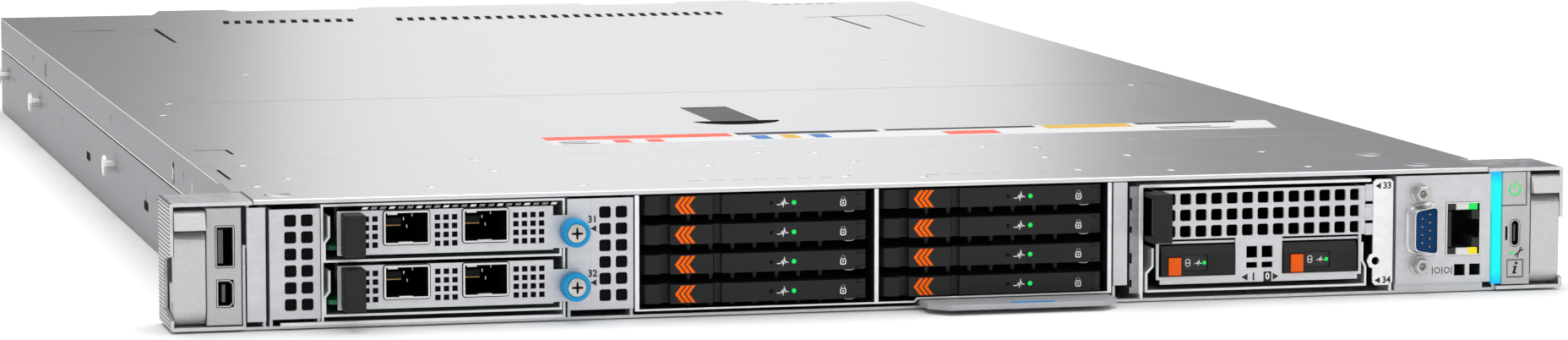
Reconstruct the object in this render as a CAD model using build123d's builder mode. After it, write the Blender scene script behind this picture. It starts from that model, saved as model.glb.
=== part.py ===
from build123d import *
import os

os.makedirs("parts", exist_ok=True)

# Driving dimensions, in millimetres. X runs across the rack, Y from the rack plane to the rear, Z up.
body_height = 42.8
body_length = 748.0
ear_depth = 28.0
sheet = 1.0
thin_sheet = 0.8
fit_gap = 0.3
seam_gap = 0.5
running_fit = 0.05
pin_sides = 8
round_sides = 12

# Widths of the front bays from left to right, and the gaps between them
left_margin = 1.2
filler_width = 6.2
plate_gap = 1.2
left_vent_width = 16.7
hood_side_gap = 0.4
hood_width = 81.4
hood_right_gap = 0.7
right_vent_width = 22.1
cage_side_gap = 0.5
plain_plate_width = 5.0
plain_plate_gap = 0.6
boot_wall_gap = 4.5
boot_side_gap = 3.5
boot_width = 75.9
bracket_gap = 3.0
bracket_width = 7.2
management_gap = 1.1
management_width = 34.4
right_margin = 2.4

# Chassis walls
lower_wall_height = 28.0
flange_bottom = 29.5
wall_top_drop = 1.8
seam_length = 121.0
wall_setback = 2.0
return_length = 12.0
rear_slot_width = 15.0
rear_slot_height = 15.0
rear_slot_pitch_x = 20.0
rear_slot_pitch_z = 18.0
rear_slot_columns = 12
side_slot_y = 222.7
side_slot_z = 16.5
side_slot_length = 10.0
side_slot_width = 3.4
side_slot_depth = 0.6
cover_pin_y = 144.0
cover_pin_z = 34.5
cover_pin_radius = 1.5
top_edge_round = 0.6

# Rack ears and their latches
ear_sheet = 1.2
ear_bottom = 0.4
ear_top_drop = 0.4
ear_overlap = 3.2
ear_corner = 1.0
side_notch_depth = 15.0
side_notch_low = 4.0
side_notch_high = 25.0
side_notch_slope = 2.4
rack_hole_spacing = 465.1
rack_hole_radius = 3.5
rack_hole_height = 21.4
flange_thickness = 2.0
latch_width = 10.2
latch_side_gap = 0.4
latch_outer_gap = 0.2
latch_depth = 12.0
latch_pivot_back = 6.0
latch_pivot_height = 8.0
latch_pin_radius = 1.5
latch_top = 39.7
latch_scoop_from = 29.0
latch_scoop_depth = 3.6
latch_lip_from = 33.6
latch_lip_reach = 2.7
latch_lip_top = 38.4
latch_crown = 1.4
latch_wall = 5.4

# Small front panels beside the ears, their sockets and buttons
panel_gap = 0.6
panel_width = 11.4
panel_bottom = 2.1
panel_top = 40.4
panel_depth = 22.0
panel_edge = 0.3
host_z = 27.85
host_width = 6.2
host_height = 13.7
display_z = 12.5
display_width = 5.6
display_height = 9.0
socket_inset = 6.0
shell_gap = 0.1
shell_wall = 0.45
socket_depth = 16.0
tongue_setback = 1.0
type_c_offset = 6.05
type_c_z = 19.8
type_c_width = 3.4
type_c_height = 9.4
type_c_depth = 12.0
power_width = 8.6
power_bottom = 29.5
power_travel = 1.5
button_depth = 4.3
button_edge = 0.25
info_offset = 6.2
info_z = 7.5
info_width = 5.5
info_height = 5.7
info_travel = 1.0
lamp_slot_offset = 2.9
lamp_slot_length = 4.8
lamp_slot_width = 0.8
control_setback = 1.4
light_bar_width = 3.2
light_bar_gap = 0.4
light_bar_bottom = 2.4

# Square perforations
hole_size = 3.95
hole_pitch = 5.53
plate_hole_rows = 6
plate_hole_top = 37.7
left_hole_inset = 4.9
right_hole_inset = 10.6
filler_z = (2.8, 40.3)
left_vent_z = (3.4, 39.5)
right_vent_z = (3.4, 40.4)
plain_z = (5.9, 41.0)

# Network cards, their trays and thumbscrews
card_pitch = 17.9
card_top = 38.4
card_height = 14.5
card_inset = 5.1
card_width = 71.9
card_length = 112.0
board_setback = 1.8
card_board_left_gap = 2.2
card_board_right_gap = 1.9
card_board_thickness = 1.6
cage_width = 14.8
cage_height = 10.6
cage_wall = 0.4
cage_depth = 48.0
cage_offsets = [15.5, 41.8]
cage_reach = 0.5
vent_size = 1.85
vent_pitch = 2.87
vent_rows = 4
vent_offsets = [32.3, 58.5]
vent_columns = [3, 4]
pull_offset = 1.2
pull_width = 6.6
pull_height = 13.7
pull_reach = 10.1
cooler_from = 56.0
cooler_length = 44.0
cooler_width = 56.0
cooler_base = 3.0
cooler_fin_height = 7.0
cooler_fin = 1.2
cooler_fins = 8
screw_offset = 6.6
screw_drop = 8.6
screw_radius = 4.8
screw_length = 7.0
screw_core_radius = 3.0
screw_core_reach = 0.3
ridge_width = 0.8
recess_span = 3.6
recess_width = 0.9
recess_depth = 1.6
shaft_radius = 1.5
shaft_length = 9.0
shaft_clearance = 0.4
ear_tab_radius = 5.4
ear_tab_sides = 8
hood_top_drop = 2.5
tray_jog = 1.5
tray_wall_height = 14.8
tray_jog_bottom = 6.1
tray_jog_top = 8.0
shelf_drop = 2.0
tray_lip = 2.3

# Drive bay
drive_rows = 4
drive_columns = 2
drive_width = 77.2
drive_height = 6.4
drive_pitch = 9.87
drive_top_drop = 2.3
drive_reach = 0.5
drive_case_width = 76.0
drive_case_length = 107.0
case_shave = 0.1
edge_width = 42.0
edge_length = 2.0
edge_thickness = 1.6
bezel = 3.1
carrier_bar = 3.1
facet_width = 6.3
button_from = 9.5
button_to = 24.0
button_chamfer = 1.2
handle_from = 24.5
grip_groove = 2.5
grip_depth = 1.6
knuckle_radius = 2.6
lug_thickness = 1.0
hinge_pin_radius = 1.0
peg_count = 7
peg_pitch = 7.53
peg_middle = 39.1
peg_length = 2.4
peg_size = 1.8
peg_taper = 12
peg_setback = 0.6
drive_side_gap = 1.0
drive_right_gap = 2.4
last_right_gap = 1.9
outer_wall = 1.5
inner_wall = 1.4
cage_front_gap = 0.1
cage_length = 120.0
cage_floor = 2.6
cage_floor_step = 1.15
cage_floor_sheet = 0.6
cage_roof_drop = 1.8
ledge_reach = 1.6
ledge_setback = 12.0
ledge_thickness = 0.8
backplane_thickness = 1.6
backplane_bottom = 5.0
socket_width = 48.0
socket_height = 5.2
socket_length = 2.4

# Pull-out information tag
tag_width = 66.0
tag_right_gap = 1.1
tag_bottom = 1.3
tag_thickness = 1.8
tag_reach = 16.5
tag_length = 92.0
tag_corner = 6.5
tag_edge = 0.5
tag_side_room = 2.0

# Boot module and its bay
boot_top = 37.6
boot_face_height = 16.6
boot_strip_offset = 29.5
boot_strip_width = 16.7
boot_lip_bottom = 5.7
boot_lip_height = 2.6
boot_lip_inset = 2.6
boot_columns = 13
boot_rows = 3
boot_hole_offset = 4.05
boot_hole_drop = 0.95
strip_vent_offsets = [3.9, 9.4]
strip_vent_size = 3.9
strip_vent_tops = [18.0, 12.5]
strip_vent_heights = [4.0, 2.0]
boot_length = 110.0
boot_tray_inset = 1.2
boot_tray_floor = 7.3
boot_shelf_z = 19.8
boot_shelf_length = 70.0
boot_tab_left_reach = 3.0
boot_tab_width = 6.5
boot_tab_height = 16.6
boot_tab_reach = 10.8
boot_tab_wall = 1.6
boot_drive_bottom = 8.6
boot_drive_width = 26.3
boot_drive_offsets = [46.6, 2.9]
boot_drive_height = 10.2
boot_drive_length = 90.0
boot_drive_reach = 0.6
boot_drive_slope = 3.0
boot_drive_head = 12.0
release_offset = 2.5
release_width = 4.4
release_height = 6.0
release_reach = 0.6
release_gap = 0.2
lamp_pocket_offset = 7.6
lamp_pocket_width = 9.0
lamp_pocket_inset = 1.4
boot_rail_drop = 3.4
boot_bay_jog = 2.2
boot_bay_floor = 3.4
bracket_bottom = 3.2
bracket_height = 36.5
bracket_corner = 1.0
bracket_tab_radius = 3.0
bracket_hole_radius = 1.35
bracket_hole_z = 11.6

# Management panel and its sockets
management_bottom = 3.2
management_height = 37.3
serial_offset = 9.0
serial_z = 22.1
serial_width = 8.7
serial_height = 17.0
serial_slant = 1.4
serial_corner = 1.6
serial_wall = 0.5
serial_reach = 6.0
serial_plate_width = 10.8
serial_plate_height = 19.2
serial_plate_thickness = 0.8
serial_pin = 0.8
serial_pin_pitch = 2.77
serial_pin_rows = {-1.4: 4, 1.4: 5}
serial_pin_reach = 4.8
standoff_spacing = 25.0
standoff_shift = 0.6
standoff_flats = 5.0
standoff_bore = 1.3
standoff_length = 5.0
jack_offset = 18.2
jack_width = 12.6
jack_bottom = 12.6
jack_height = 18.4
jack_depth = 18.0
jack_rim = 2.7
jack_key_width = 2.5
jack_key_height = 6.4
jack_wall = 0.5
jack_back = 2.0
jack_proud = 0.2
management_vent_top = 9.6

# Top cover and its latch
tongue_reach = 24.0
step_tongue_reach = 14.0
tongue_slope = 6.0
tongue_spans = [(-141.0, -110.0), (-46.0, 59.0), (107.0, 142.0)]
slit_width = 1.6
slit_side = 21.0
slit_run = 40.0
slit_back = 85.0
slit_length = 70.0
cover_notch_width = 5.0
cover_notch_top = 3.0
latch_plate_width = 17.6
latch_plate_from = 194.0
latch_plate_length = 54.0
latch_plate_thickness = 2.2
latch_plate_drop = 0.1
latch_knuckle = 1.5
cover_hinge_radius = 1.0
pan_depth = 5.0
scoop_half_width = 16.5
scoop_length = 14.5

# Power supplies
supply_width = 60.4
supply_height = 38.8
supply_length = 185.0
supply_side_gap = 6.6
loop_offset = 16.0
loop_reach = 26.0
loop_wall = 3.0
loop_width = 9.0
loop_low = 5.0
loop_high = 33.0
inlet_offset = 14.0
inlet_width = 28.0
inlet_low = 2.5
inlet_height = 22.0
inlet_wall = 2.0
inlet_depth = 14.0
inlet_reach = 2.0
inlet_pins = [(-7.0, 10.0), (7.0, 10.0), (0.0, 13.6)]
inlet_pin_width = 2.0
inlet_pin_height = 4.0
grille_slots = 8
grille_pitch = 3.2
grille_width = 2.0
grille_height = 10.0
grille_z = 31.5
grille_depth = 1.5

# Fans, board and what stands on it
fan_count = 8
fan_side_room = 13.0
fan_width = 40.6
fan_height = 38.0
fan_length = 56.0
fan_room = 28.0
fan_bore = 18.0
fan_hub = 8.0
fan_hub_sides = 8
fan_blades = 4
fan_blade_thickness = 1.6
fan_blade_length = 9.0
fan_blade_depth = 14.0
fan_rotor_from = 6.0
motor_radius = 6.0
motor_length = 6.0
strut_width = 3.0
strut_thickness = 2.0
board_room = 16.0
board_side_room = 11.0
board_rear_room = 21.0
board_bottom = 5.0
board_thickness = 1.6
standoff_radius = 2.5
standoff_columns = 3
standoff_rows = 3
standoff_inset = 15.0
processor_spread = 90.0
processor_width = 70.0
processor_height = 4.0
sink_front = 266.0
sink_width = 78.0
sink_length = 108.0
sink_base = 4.0
sink_fins = 7
sink_fin = 0.8
sink_fin_height = 18.0
memory_front = 254.0
memory_banks = [-192.0, -152.0, -30.0, 10.0, 134.0, 174.0]
memory_per_bank = 3
memory_pitch = 8.0
memory_thickness = 1.4
memory_length = 133.0
memory_height = 30.0
shroud_front = 252.0
shroud_length = 150.0
shroud_side_room = 10.0
shroud_drop = 4.0
shroud_sheet = 1.6
shroud_slots = 7
shroud_slot_pitch = 32.0
shroud_slot_length = 110.0
shroud_slot_width = 10.0

# Rail studs
stud_radius = 2.2
stud_head_radius = 4.0
stud_neck = 3.4
stud_head = 1.2
stud_height = 18.7
stud_rear_insets = [430.0, 161.0, 28.0]

# Places worked out from the sizes above
front = -ear_depth
seam = front + seam_length
cover_under = body_height - sheet
wall_top = body_height - wall_top_drop
floor_top = sheet
drive_pitch_x = drive_width + drive_right_gap + inner_wall + drive_side_gap
drives_span = (drive_columns - 1) * drive_pitch_x + drive_width
drive_cage_width = outer_wall + drive_side_gap + drives_span + last_right_gap + inner_wall
bays = left_margin + filler_width + plate_gap + left_vent_width + hood_side_gap + hood_width
bays += hood_right_gap + right_vent_width + cage_side_gap + drive_cage_width + plain_plate_gap
bays += plain_plate_width + boot_wall_gap + sheet + boot_side_gap + boot_width
bays += bracket_gap + bracket_width + management_gap + management_width + right_margin
half_body = bays / 2
filler_left = left_margin - half_body
left_vent_left = filler_left + filler_width + plate_gap
hood_left = left_vent_left + left_vent_width + hood_side_gap
hood_right = hood_left + hood_width
card_left = hood_left + card_inset
card_right = card_left + card_width
card_bottom = card_top - card_height
card_face = front - thin_sheet - cage_front_gap
screw_x = card_right + screw_offset
screw_z = card_top - screw_drop
right_vent_left = hood_right + hood_right_gap
cage_left = right_vent_left + right_vent_width + cage_side_gap
cage_right = cage_left + drive_cage_width
plain_left = cage_right + plain_plate_gap
boot_wall_left = plain_left + plain_plate_width + boot_wall_gap
boot_left = boot_wall_left + sheet + boot_side_gap
boot_right = boot_left + boot_width
bracket_left = boot_right + bracket_gap
management_left = bracket_left + bracket_width + management_gap
management_right = management_left + management_width
panel_inner = half_body + panel_gap
panel_outer = panel_inner + panel_width
control_left = panel_inner + control_setback
latch_inner = panel_outer + latch_side_gap
ear_inside = latch_inner + latch_width + latch_outer_gap
half_rack = ear_inside + ear_sheet
ear_top = body_height - ear_top_drop
ear_overlap_x = half_body - ear_overlap
step_outer = half_body - sheet - fit_gap
step_inner = step_outer - sheet
walls_start = front + wall_setback
cage_back = front + cage_length
fan_front = cage_back + fan_room
board_front = fan_front + fan_length + board_room
supply_front = body_length - supply_length
board_back = supply_front - board_rear_room
supply_outer = half_body - supply_side_gap
supply_inner = supply_outer - supply_width


def facing(y):
    """A plane across the front at depth y, with sketch axes X and Z."""
    return Plane.XZ.offset(-y)


def block(x_span, y_span, z_span, mode=Mode.ADD):
    """A box given by its two limits on each axis."""
    (x0, x1), (y0, y1), (z0, z1) = sorted(x_span), sorted(y_span), sorted(z_span)
    with Locations(((x0 + x1) / 2, (y0 + y1) / 2, (z0 + z1) / 2)):
        Box(x1 - x0, y1 - y0, z1 - z0, mode=mode)


def window(x_span, z_span, mode=Mode.SUBTRACT):
    """A rectangle in a sketch, given by its limits on the sketch's two axes."""
    (x0, x1), (z0, z1) = sorted(x_span), sorted(z_span)
    with Locations(((x0 + x1) / 2, (z0 + z1) / 2)):
        Rectangle(x1 - x0, z1 - z0, mode=mode)


def pin(radius, mode=Mode.ADD):
    """A turned pin's outline, with its corners on the circle."""
    RegularPolygon(radius, pin_sides, mode=mode)


def bore(radius, mode=Mode.SUBTRACT):
    """The outline of the bore round a pin, with its flats on the circle."""
    RegularPolygon(radius, pin_sides, major_radius=False, mode=mode)


def upright_slot(width, height, mode=Mode.ADD):
    """An upright slot with faceted ends."""
    side = width / 2
    shoulder = height / 2 - side
    crown = [(side, shoulder), (side / 2, shoulder + 0.87 * side)]
    crown += [(-x, z) for x, z in reversed(crown)]
    Polygon(*crown, *[(-x, -z) for x, z in crown], align=None, mode=mode)


def perforations(left, top, columns, rows, size=hole_size, pitch=hole_pitch):
    """Square holes in a front-facing sketch, from their top left corner."""
    middle_x = left + size / 2 + (columns - 1) * pitch / 2
    middle_z = top - size / 2 - (rows - 1) * pitch / 2
    with Locations((middle_x, middle_z)):
        with GridLocations(pitch, pitch, columns, rows):
            Rectangle(size, size, mode=Mode.SUBTRACT)


def folded(points, thickness, y_span):
    """A folded sheet whose middle line runs through the points, as seen from the front."""
    with BuildSketch(facing(y_span[0])) as profile:
        with BuildLine():
            Polyline(*points)
        trace(line_width=thickness)
    extrude(profile.sketch, amount=y_span[0] - y_span[1])


def mirrored(piece):
    """The same piece on the other side of the server."""
    return mirror(piece, about=Plane.YZ, mode=Mode.PRIVATE)


def keep(piece, label):
    """Name a finished piece and write it."""
    piece.label = label
    export_step(piece, f"parts/{label}.step")


# Chassis base: floor and stepped side walls from one folded profile, rear wall and supply bays
with BuildPart() as chassis_base:
    right_side = [
        (half_body, 0),
        (half_body, lower_wall_height),
        (step_outer, lower_wall_height),
        (step_outer, wall_top),
        (step_inner, wall_top),
        (step_inner, lower_wall_height - sheet),
        (half_body - sheet, lower_wall_height - sheet),
        (half_body - sheet, floor_top),
    ]
    left_side = [(-x, z) for x, z in reversed(right_side)]
    with BuildSketch(facing(walls_start)):
        Polygon(*right_side, *left_side, align=None)
    extrude(amount=walls_start - body_length)
    rear_wall = (body_length - sheet, body_length)
    with BuildSketch(facing(rear_wall[0])):
        window((-step_inner, step_inner), (floor_top, wall_top), Mode.ADD)
        for side in (-1, 1):
            bay = (side * (supply_inner - fit_gap), side * (supply_outer + fit_gap))
            window(bay, (floor_top, floor_top + supply_height + 2 * fit_gap))
        with Locations((0, (floor_top + wall_top) / 2)):
            with GridLocations(rear_slot_pitch_x, rear_slot_pitch_z, rear_slot_columns, 2):
                Rectangle(rear_slot_width, rear_slot_height, mode=Mode.SUBTRACT)
    extrude(amount=-sheet)
    for side in (-1, 1):
        bay_wall = (side * (supply_inner - fit_gap), side * (supply_inner - fit_gap - sheet))
        block(bay_wall, (supply_front, rear_wall[0]), (floor_top, wall_top))
        with BuildSketch(Plane.YZ.offset(side * half_body)):
            with Locations((side_slot_y, side_slot_z)):
                upright_slot(side_slot_width, side_slot_length)
        extrude(amount=-side * side_slot_depth, mode=Mode.SUBTRACT)
        with BuildSketch(Plane.YZ.offset(side * step_outer)):
            with Locations((cover_pin_y, cover_pin_z)):
                pin(cover_pin_radius)
        extrude(amount=side * (half_body - step_outer))
keep(chassis_base.part, "chassis_base")

# Front top panel: fixed sheet ahead of the seam, with side flanges and a folded front lip
with BuildPart() as front_top_panel:
    ear_clear = ear_overlap_x - fit_gap
    panel_back = seam - seam_gap
    half_outline = [(ear_clear, front), (ear_clear, fit_gap), (half_body, fit_gap), (half_body, panel_back)]
    with BuildSketch(Plane.XY.offset(cover_under)):
        Polygon(*half_outline, *[(-x, y) for x, y in reversed(half_outline)], align=None)
    extrude(amount=sheet)
    block((-ear_clear, ear_clear), (front, front + sheet), (cover_under - seam_gap, cover_under))
    for side in (-1, 1):
        flange = (side * (half_body - sheet), side * half_body)
        block(flange, (fit_gap, panel_back), (flange_bottom, cover_under))
    front_edges = front_top_panel.edges().filter_by(Axis.X).group_by(Axis.Y)[0]
    fillet(front_edges.sort_by(Axis.Z)[-1], top_edge_round)
keep(front_top_panel.part, "front_top_panel")

# Rack ears: a folded channel round the latch, with the flange that bears on the rack post
ear_inside_z = (ear_bottom + ear_sheet, ear_top - ear_sheet)
with BuildPart() as rack_ear_right:
    with BuildSketch(facing(front)):
        window((half_body, half_rack), (ear_bottom, ear_top), Mode.ADD)
        window((half_body, ear_inside), ear_inside_z)
    extrude(amount=-ear_depth)
    with BuildSketch(facing(front)):
        window((ear_overlap_x, half_body + ear_sheet), (ear_top - ear_sheet, ear_top), Mode.ADD)
    extrude(amount=fit_gap - ear_depth)
    fillet(rack_ear_right.edges().filter_by(Axis.Y).group_by(Axis.X)[-1], ear_corner)
    with BuildSketch(Plane.YZ.offset(ear_inside)):
        Polygon(
            (front, side_notch_low),
            (front + side_notch_depth, side_notch_low + side_notch_slope),
            (front + side_notch_depth, side_notch_high - side_notch_slope),
            (front, side_notch_high),
            align=None,
        )
    extrude(amount=ear_sheet, mode=Mode.SUBTRACT)
    with BuildSketch(facing(-flange_thickness)):
        window((half_body, ear_inside), ear_inside_z, Mode.ADD)
        with Locations((rack_hole_spacing / 2, rack_hole_height)):
            Circle(rack_hole_radius, mode=Mode.SUBTRACT)
    extrude(amount=-flange_thickness)
with BuildPart() as rack_ear_left:
    add(mirrored(rack_ear_right.part))
keep(rack_ear_right.part, "rack_ear_right")
keep(rack_ear_left.part, "rack_ear_left")

# Ear latches: hinged at the foot, with a finger lip over a scooped face
latch_pivot = (front + latch_pivot_back, latch_pivot_height)
latch_pin_length = latch_side_gap + latch_width - fit_gap
with BuildPart() as latch_right:
    with BuildSketch(Plane.YZ.offset(latch_inner)):
        face_foot = (front, latch_pivot_height)
        scoop_start = (front, latch_scoop_from)
        scoop_end = (front + latch_scoop_depth, latch_lip_from - running_fit)
        lip_edge = (front - latch_lip_reach, latch_lip_from)
        lip_top = (front - latch_crown / 2, latch_lip_top)
        crown = (front + latch_crown, latch_top)
        back = front + latch_depth
        with BuildLine():
            Line(face_foot, scoop_start)
            TangentArc(scoop_start, scoop_end, tangent=(0, 1))
            Line(scoop_end, lip_edge)
            Line(lip_edge, lip_top)
            ThreePointArc(lip_top, (front + latch_crown / 8, latch_top - latch_crown / 4), crown)
            Polyline(crown, (back, latch_top), (back, latch_pivot_height), face_foot)
        make_face()
        with Locations(latch_pivot):
            Circle(latch_pivot_back)
            bore(latch_pin_radius + running_fit)
        hollow_low = latch_pivot_height + latch_pivot_back + latch_pin_radius
        window((front + latch_wall, back), (hollow_low, latch_top - latch_wall))
    extrude(amount=latch_width)
with BuildPart() as latch_left:
    add(mirrored(latch_right.part))
keep(latch_right.part, "latch_right")
keep(latch_left.part, "latch_left")

# Left port panel: a moulded block with pockets for two sockets and the pin that carries the latch
socket_x = -panel_outer + socket_inset
with BuildPart() as port_panel:
    with BuildSketch(facing(front)):
        window((-panel_outer, -panel_inner), (panel_bottom, panel_top), Mode.ADD)
        with Locations((socket_x, host_z)):
            Rectangle(host_width, host_height, mode=Mode.SUBTRACT)
        with Locations((socket_x, display_z)):
            Rectangle(display_width, display_height, mode=Mode.SUBTRACT)
    extrude(amount=-panel_depth)
    chamfer(port_panel.faces().sort_by(Axis.Y)[0].outer_wire().edges(), panel_edge)
    with BuildSketch(Plane.YZ.offset(-panel_outer)):
        with Locations(latch_pivot):
            pin(latch_pin_radius)
    extrude(amount=-latch_pin_length)
keep(port_panel.part, "port_panel")

# Right control panel: open corner for the power button, pockets for the socket and the small button
power_top = panel_top + seam_gap
power_pocket_back = front + button_depth + power_travel + fit_gap
type_c_x = panel_inner + type_c_offset
info_x = panel_inner + info_offset
with BuildPart() as control_panel:
    with BuildSketch(facing(front)):
        window((control_left, panel_outer), (panel_bottom, power_top), Mode.ADD)
        with Locations((type_c_x, type_c_z)):
            upright_slot(type_c_width, type_c_height, Mode.SUBTRACT)
    extrude(amount=-panel_depth)
    power_room = (control_left, control_left + power_width + fit_gap)
    block(power_room, (front, power_pocket_back), (power_bottom - fit_gap, power_top), Mode.SUBTRACT)
    with BuildSketch(facing(front)):
        with Locations((info_x, info_z)):
            Rectangle(info_width + 2 * fit_gap, info_height + 2 * fit_gap)
        with Locations((panel_inner + lamp_slot_offset, type_c_z)):
            Rectangle(lamp_slot_width, lamp_slot_length)
    extrude(amount=-(button_depth + info_travel + fit_gap), mode=Mode.SUBTRACT)
    with BuildSketch(Plane.YZ.offset(panel_outer)):
        with Locations(latch_pivot):
            pin(latch_pin_radius)
    extrude(amount=latch_pin_length)
keep(control_panel.part, "control_panel")

with BuildPart() as power_button:
    block((control_left, control_left + power_width), (front, front + button_depth), (power_bottom, power_top))
    chamfer(power_button.faces().sort_by(Axis.Y)[0].edges(), button_edge)
keep(power_button.part, "power_button")

with BuildPart() as info_button:
    with BuildSketch(facing(front)):
        with Locations((info_x, info_z)):
            Rectangle(info_width, info_height)
    extrude(amount=-button_depth)
    chamfer(info_button.faces().sort_by(Axis.Y)[0].edges(), button_edge)
keep(info_button.part, "info_button")

# Light bar between the management panel and the control panel
light_bar_right = control_left - light_bar_gap
with BuildPart() as light_bar:
    with BuildSketch(facing(front)):
        window((light_bar_right - light_bar_width, light_bar_right), (light_bar_bottom, wall_top), Mode.ADD)
    extrude(amount=front - walls_start + fit_gap)
    chamfer(light_bar.faces().sort_by(Axis.Y)[0].edges().filter_by(Axis.Z), light_bar_gap)
keep(light_bar.part, "light_bar")

# Front sockets: shells, tongues and housings of every fixed connector
serial_x = management_left + serial_offset
jack_left = management_left + jack_offset
jack_right = jack_left + jack_width
jack_top = jack_bottom + jack_height
with BuildPart() as front_sockets:
    for z, wide, high in ((host_z, host_width, host_height), (display_z, display_width, display_height)):
        outer_wide = wide - 2 * shell_gap
        outer_high = high - 2 * shell_gap
        with BuildSketch(facing(front + shell_gap)):
            with Locations((socket_x, z)):
                Rectangle(outer_wide, outer_high)
                Rectangle(outer_wide - 2 * shell_wall, outer_high - 2 * shell_wall, mode=Mode.SUBTRACT)
        extrude(amount=-socket_depth)
        with BuildSketch(facing(front + socket_depth)):
            with Locations((socket_x, z)):
                Rectangle(outer_wide, outer_high)
        extrude(amount=2 * shell_wall)
        with BuildSketch(facing(front + tongue_setback)):
            with Locations((socket_x, z)):
                Rectangle(wide / 4, high - 4 * tongue_setback)
        extrude(amount=tongue_setback - socket_depth)
    with BuildSketch(facing(front + shell_gap)):
        with Locations((type_c_x, type_c_z)):
            upright_slot(type_c_width - 2 * shell_gap, type_c_height - 2 * shell_gap)
            upright_slot(type_c_width - 2 * shell_wall, type_c_height - 2 * shell_wall, Mode.SUBTRACT)
    extrude(amount=-type_c_depth)
    with BuildSketch(facing(front + type_c_depth)):
        with Locations((type_c_x, type_c_z)):
            upright_slot(type_c_width - 2 * shell_gap, type_c_height - 2 * shell_gap)
    extrude(amount=2 * shell_wall)
    with BuildSketch(facing(front + tongue_setback)):
        with Locations((type_c_x, type_c_z)):
            Rectangle(type_c_width / 4, type_c_height - type_c_width)
    extrude(amount=tongue_setback - type_c_depth)
    with BuildSketch(facing(front - serial_reach)) as serial_outline:
        half_width = serial_width / 2
        half_height = serial_height / 2
        Polygon(
            (serial_x - half_width, serial_z - half_height + serial_slant),
            (serial_x + half_width, serial_z - half_height),
            (serial_x + half_width, serial_z + half_height),
            (serial_x - half_width, serial_z + half_height - serial_slant),
            align=None,
        )
        chamfer(serial_outline.vertices(), serial_corner)
        offset(amount=-serial_wall, kind=Kind.INTERSECTION, mode=Mode.SUBTRACT)
    extrude(amount=-serial_reach)
    with BuildSketch(facing(front - serial_plate_thickness)):
        with Locations((serial_x, serial_z)):
            Rectangle(serial_plate_width, serial_plate_height)
    extrude(amount=-serial_plate_thickness)
    with BuildSketch(facing(front - serial_pin_reach)):
        for column, rows in serial_pin_rows.items():
            with Locations((serial_x + column, serial_z)):
                with GridLocations(serial_pin_pitch, serial_pin_pitch, 1, rows):
                    Rectangle(serial_pin, serial_pin)
    extrude(amount=-serial_pin_reach)
    with BuildSketch(facing(front - standoff_length)):
        with Locations((serial_x - standoff_shift, serial_z)):
            with GridLocations(standoff_spacing, standoff_spacing, 1, 2):
                RegularPolygon(standoff_flats / 2, 6, major_radius=False)
                bore(standoff_bore)
    extrude(amount=-standoff_length)
    with BuildSketch(facing(front - jack_proud)):
        window((jack_left, jack_right), (jack_bottom, jack_top), Mode.ADD)
        port_right = jack_right - jack_wall - jack_key_width
        window((jack_left + jack_wall, port_right), (jack_bottom + jack_rim, jack_top - jack_rim))
        key_middle = (jack_bottom + jack_top) / 2
        key_span = (key_middle - jack_key_height / 2, key_middle + jack_key_height / 2)
        window((port_right, jack_right - jack_wall), key_span)
    extrude(amount=-(jack_depth + jack_proud))
    jack_end = (front + jack_depth - jack_back, front + jack_depth)
    block((jack_left, jack_right), jack_end, (jack_bottom, jack_top))
keep(front_sockets.part, "front_sockets")


def front_plate(left, width, z_span, returns, hole_inset=None):
    """A front plate with return walls that stand on the floor behind it."""
    with BuildSketch(facing(front)) as face:
        window((left, left + width), z_span, Mode.ADD)
        if hole_inset:
            perforations(left + hole_inset, plate_hole_top, 2, plate_hole_rows)
    extrude(face.sketch, amount=-sheet)
    for edge, inner in returns:
        block((edge, inner), (front + sheet, front + sheet + return_length), (floor_top, z_span[1]))


# Front plates: filler strip, two perforated plates and a plain plate
filler_right = filler_left + filler_width
left_vent_right = left_vent_left + left_vent_width
right_vent_right = right_vent_left + right_vent_width
with BuildPart() as filler_plate:
    front_plate(filler_left, filler_width, filler_z, [(filler_right - sheet, filler_right)])
with BuildPart() as left_vent_plate:
    returns = [(left_vent_left, left_vent_left + sheet), (left_vent_right - sheet, left_vent_right)]
    front_plate(left_vent_left, left_vent_width, left_vent_z, returns, left_hole_inset)
with BuildPart() as right_vent_plate:
    returns = [(right_vent_left, right_vent_left + sheet), (right_vent_right - sheet, right_vent_right)]
    front_plate(right_vent_left, right_vent_width, right_vent_z, returns, right_hole_inset)
    with BuildSketch(facing(front)):
        with Locations((screw_x, screw_z), (screw_x, screw_z - card_pitch)):
            bore(shaft_radius + shaft_clearance, Mode.ADD)
    extrude(amount=-(sheet + return_length), mode=Mode.SUBTRACT)
with BuildPart() as plain_plate:
    front_plate(plain_left, plain_plate_width, plain_z, [(plain_left, plain_left + sheet)])
with BuildPart() as front_plates:
    add([filler_plate.part, left_vent_plate.part, right_vent_plate.part, plain_plate.part])
keep(front_plates.part, "front_plates")

# Card bay: a hood over two folded trays whose left sides jog out to guide the card boards
tray_span = (front + sheet, front + card_length)
board_left = card_left - card_board_left_gap - thin_sheet
board_right = card_right + card_board_right_gap
with BuildPart() as card_bay_frame:
    hood_l = hood_left + thin_sheet / 2
    hood_r = hood_right - thin_sheet / 2
    hood_z = body_height - hood_top_drop
    folded([(hood_l, floor_top), (hood_l, hood_z), (hood_r, hood_z), (hood_r, floor_top)], thin_sheet, tray_span)
    for card in range(2):
        shelf = card_bottom - shelf_drop - card * card_pitch
        tray_l = hood_l + thin_sheet
        tray_r = hood_r - thin_sheet - fit_gap
        tray_line = [
            (tray_l + tray_jog, shelf + tray_wall_height),
            (tray_l + tray_jog, shelf + tray_jog_top),
            (tray_l, shelf + tray_jog_bottom),
            (tray_l, shelf),
            (tray_r, shelf),
            (tray_r, shelf + tray_lip),
        ]
        folded(tray_line, thin_sheet, tray_span)
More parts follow.
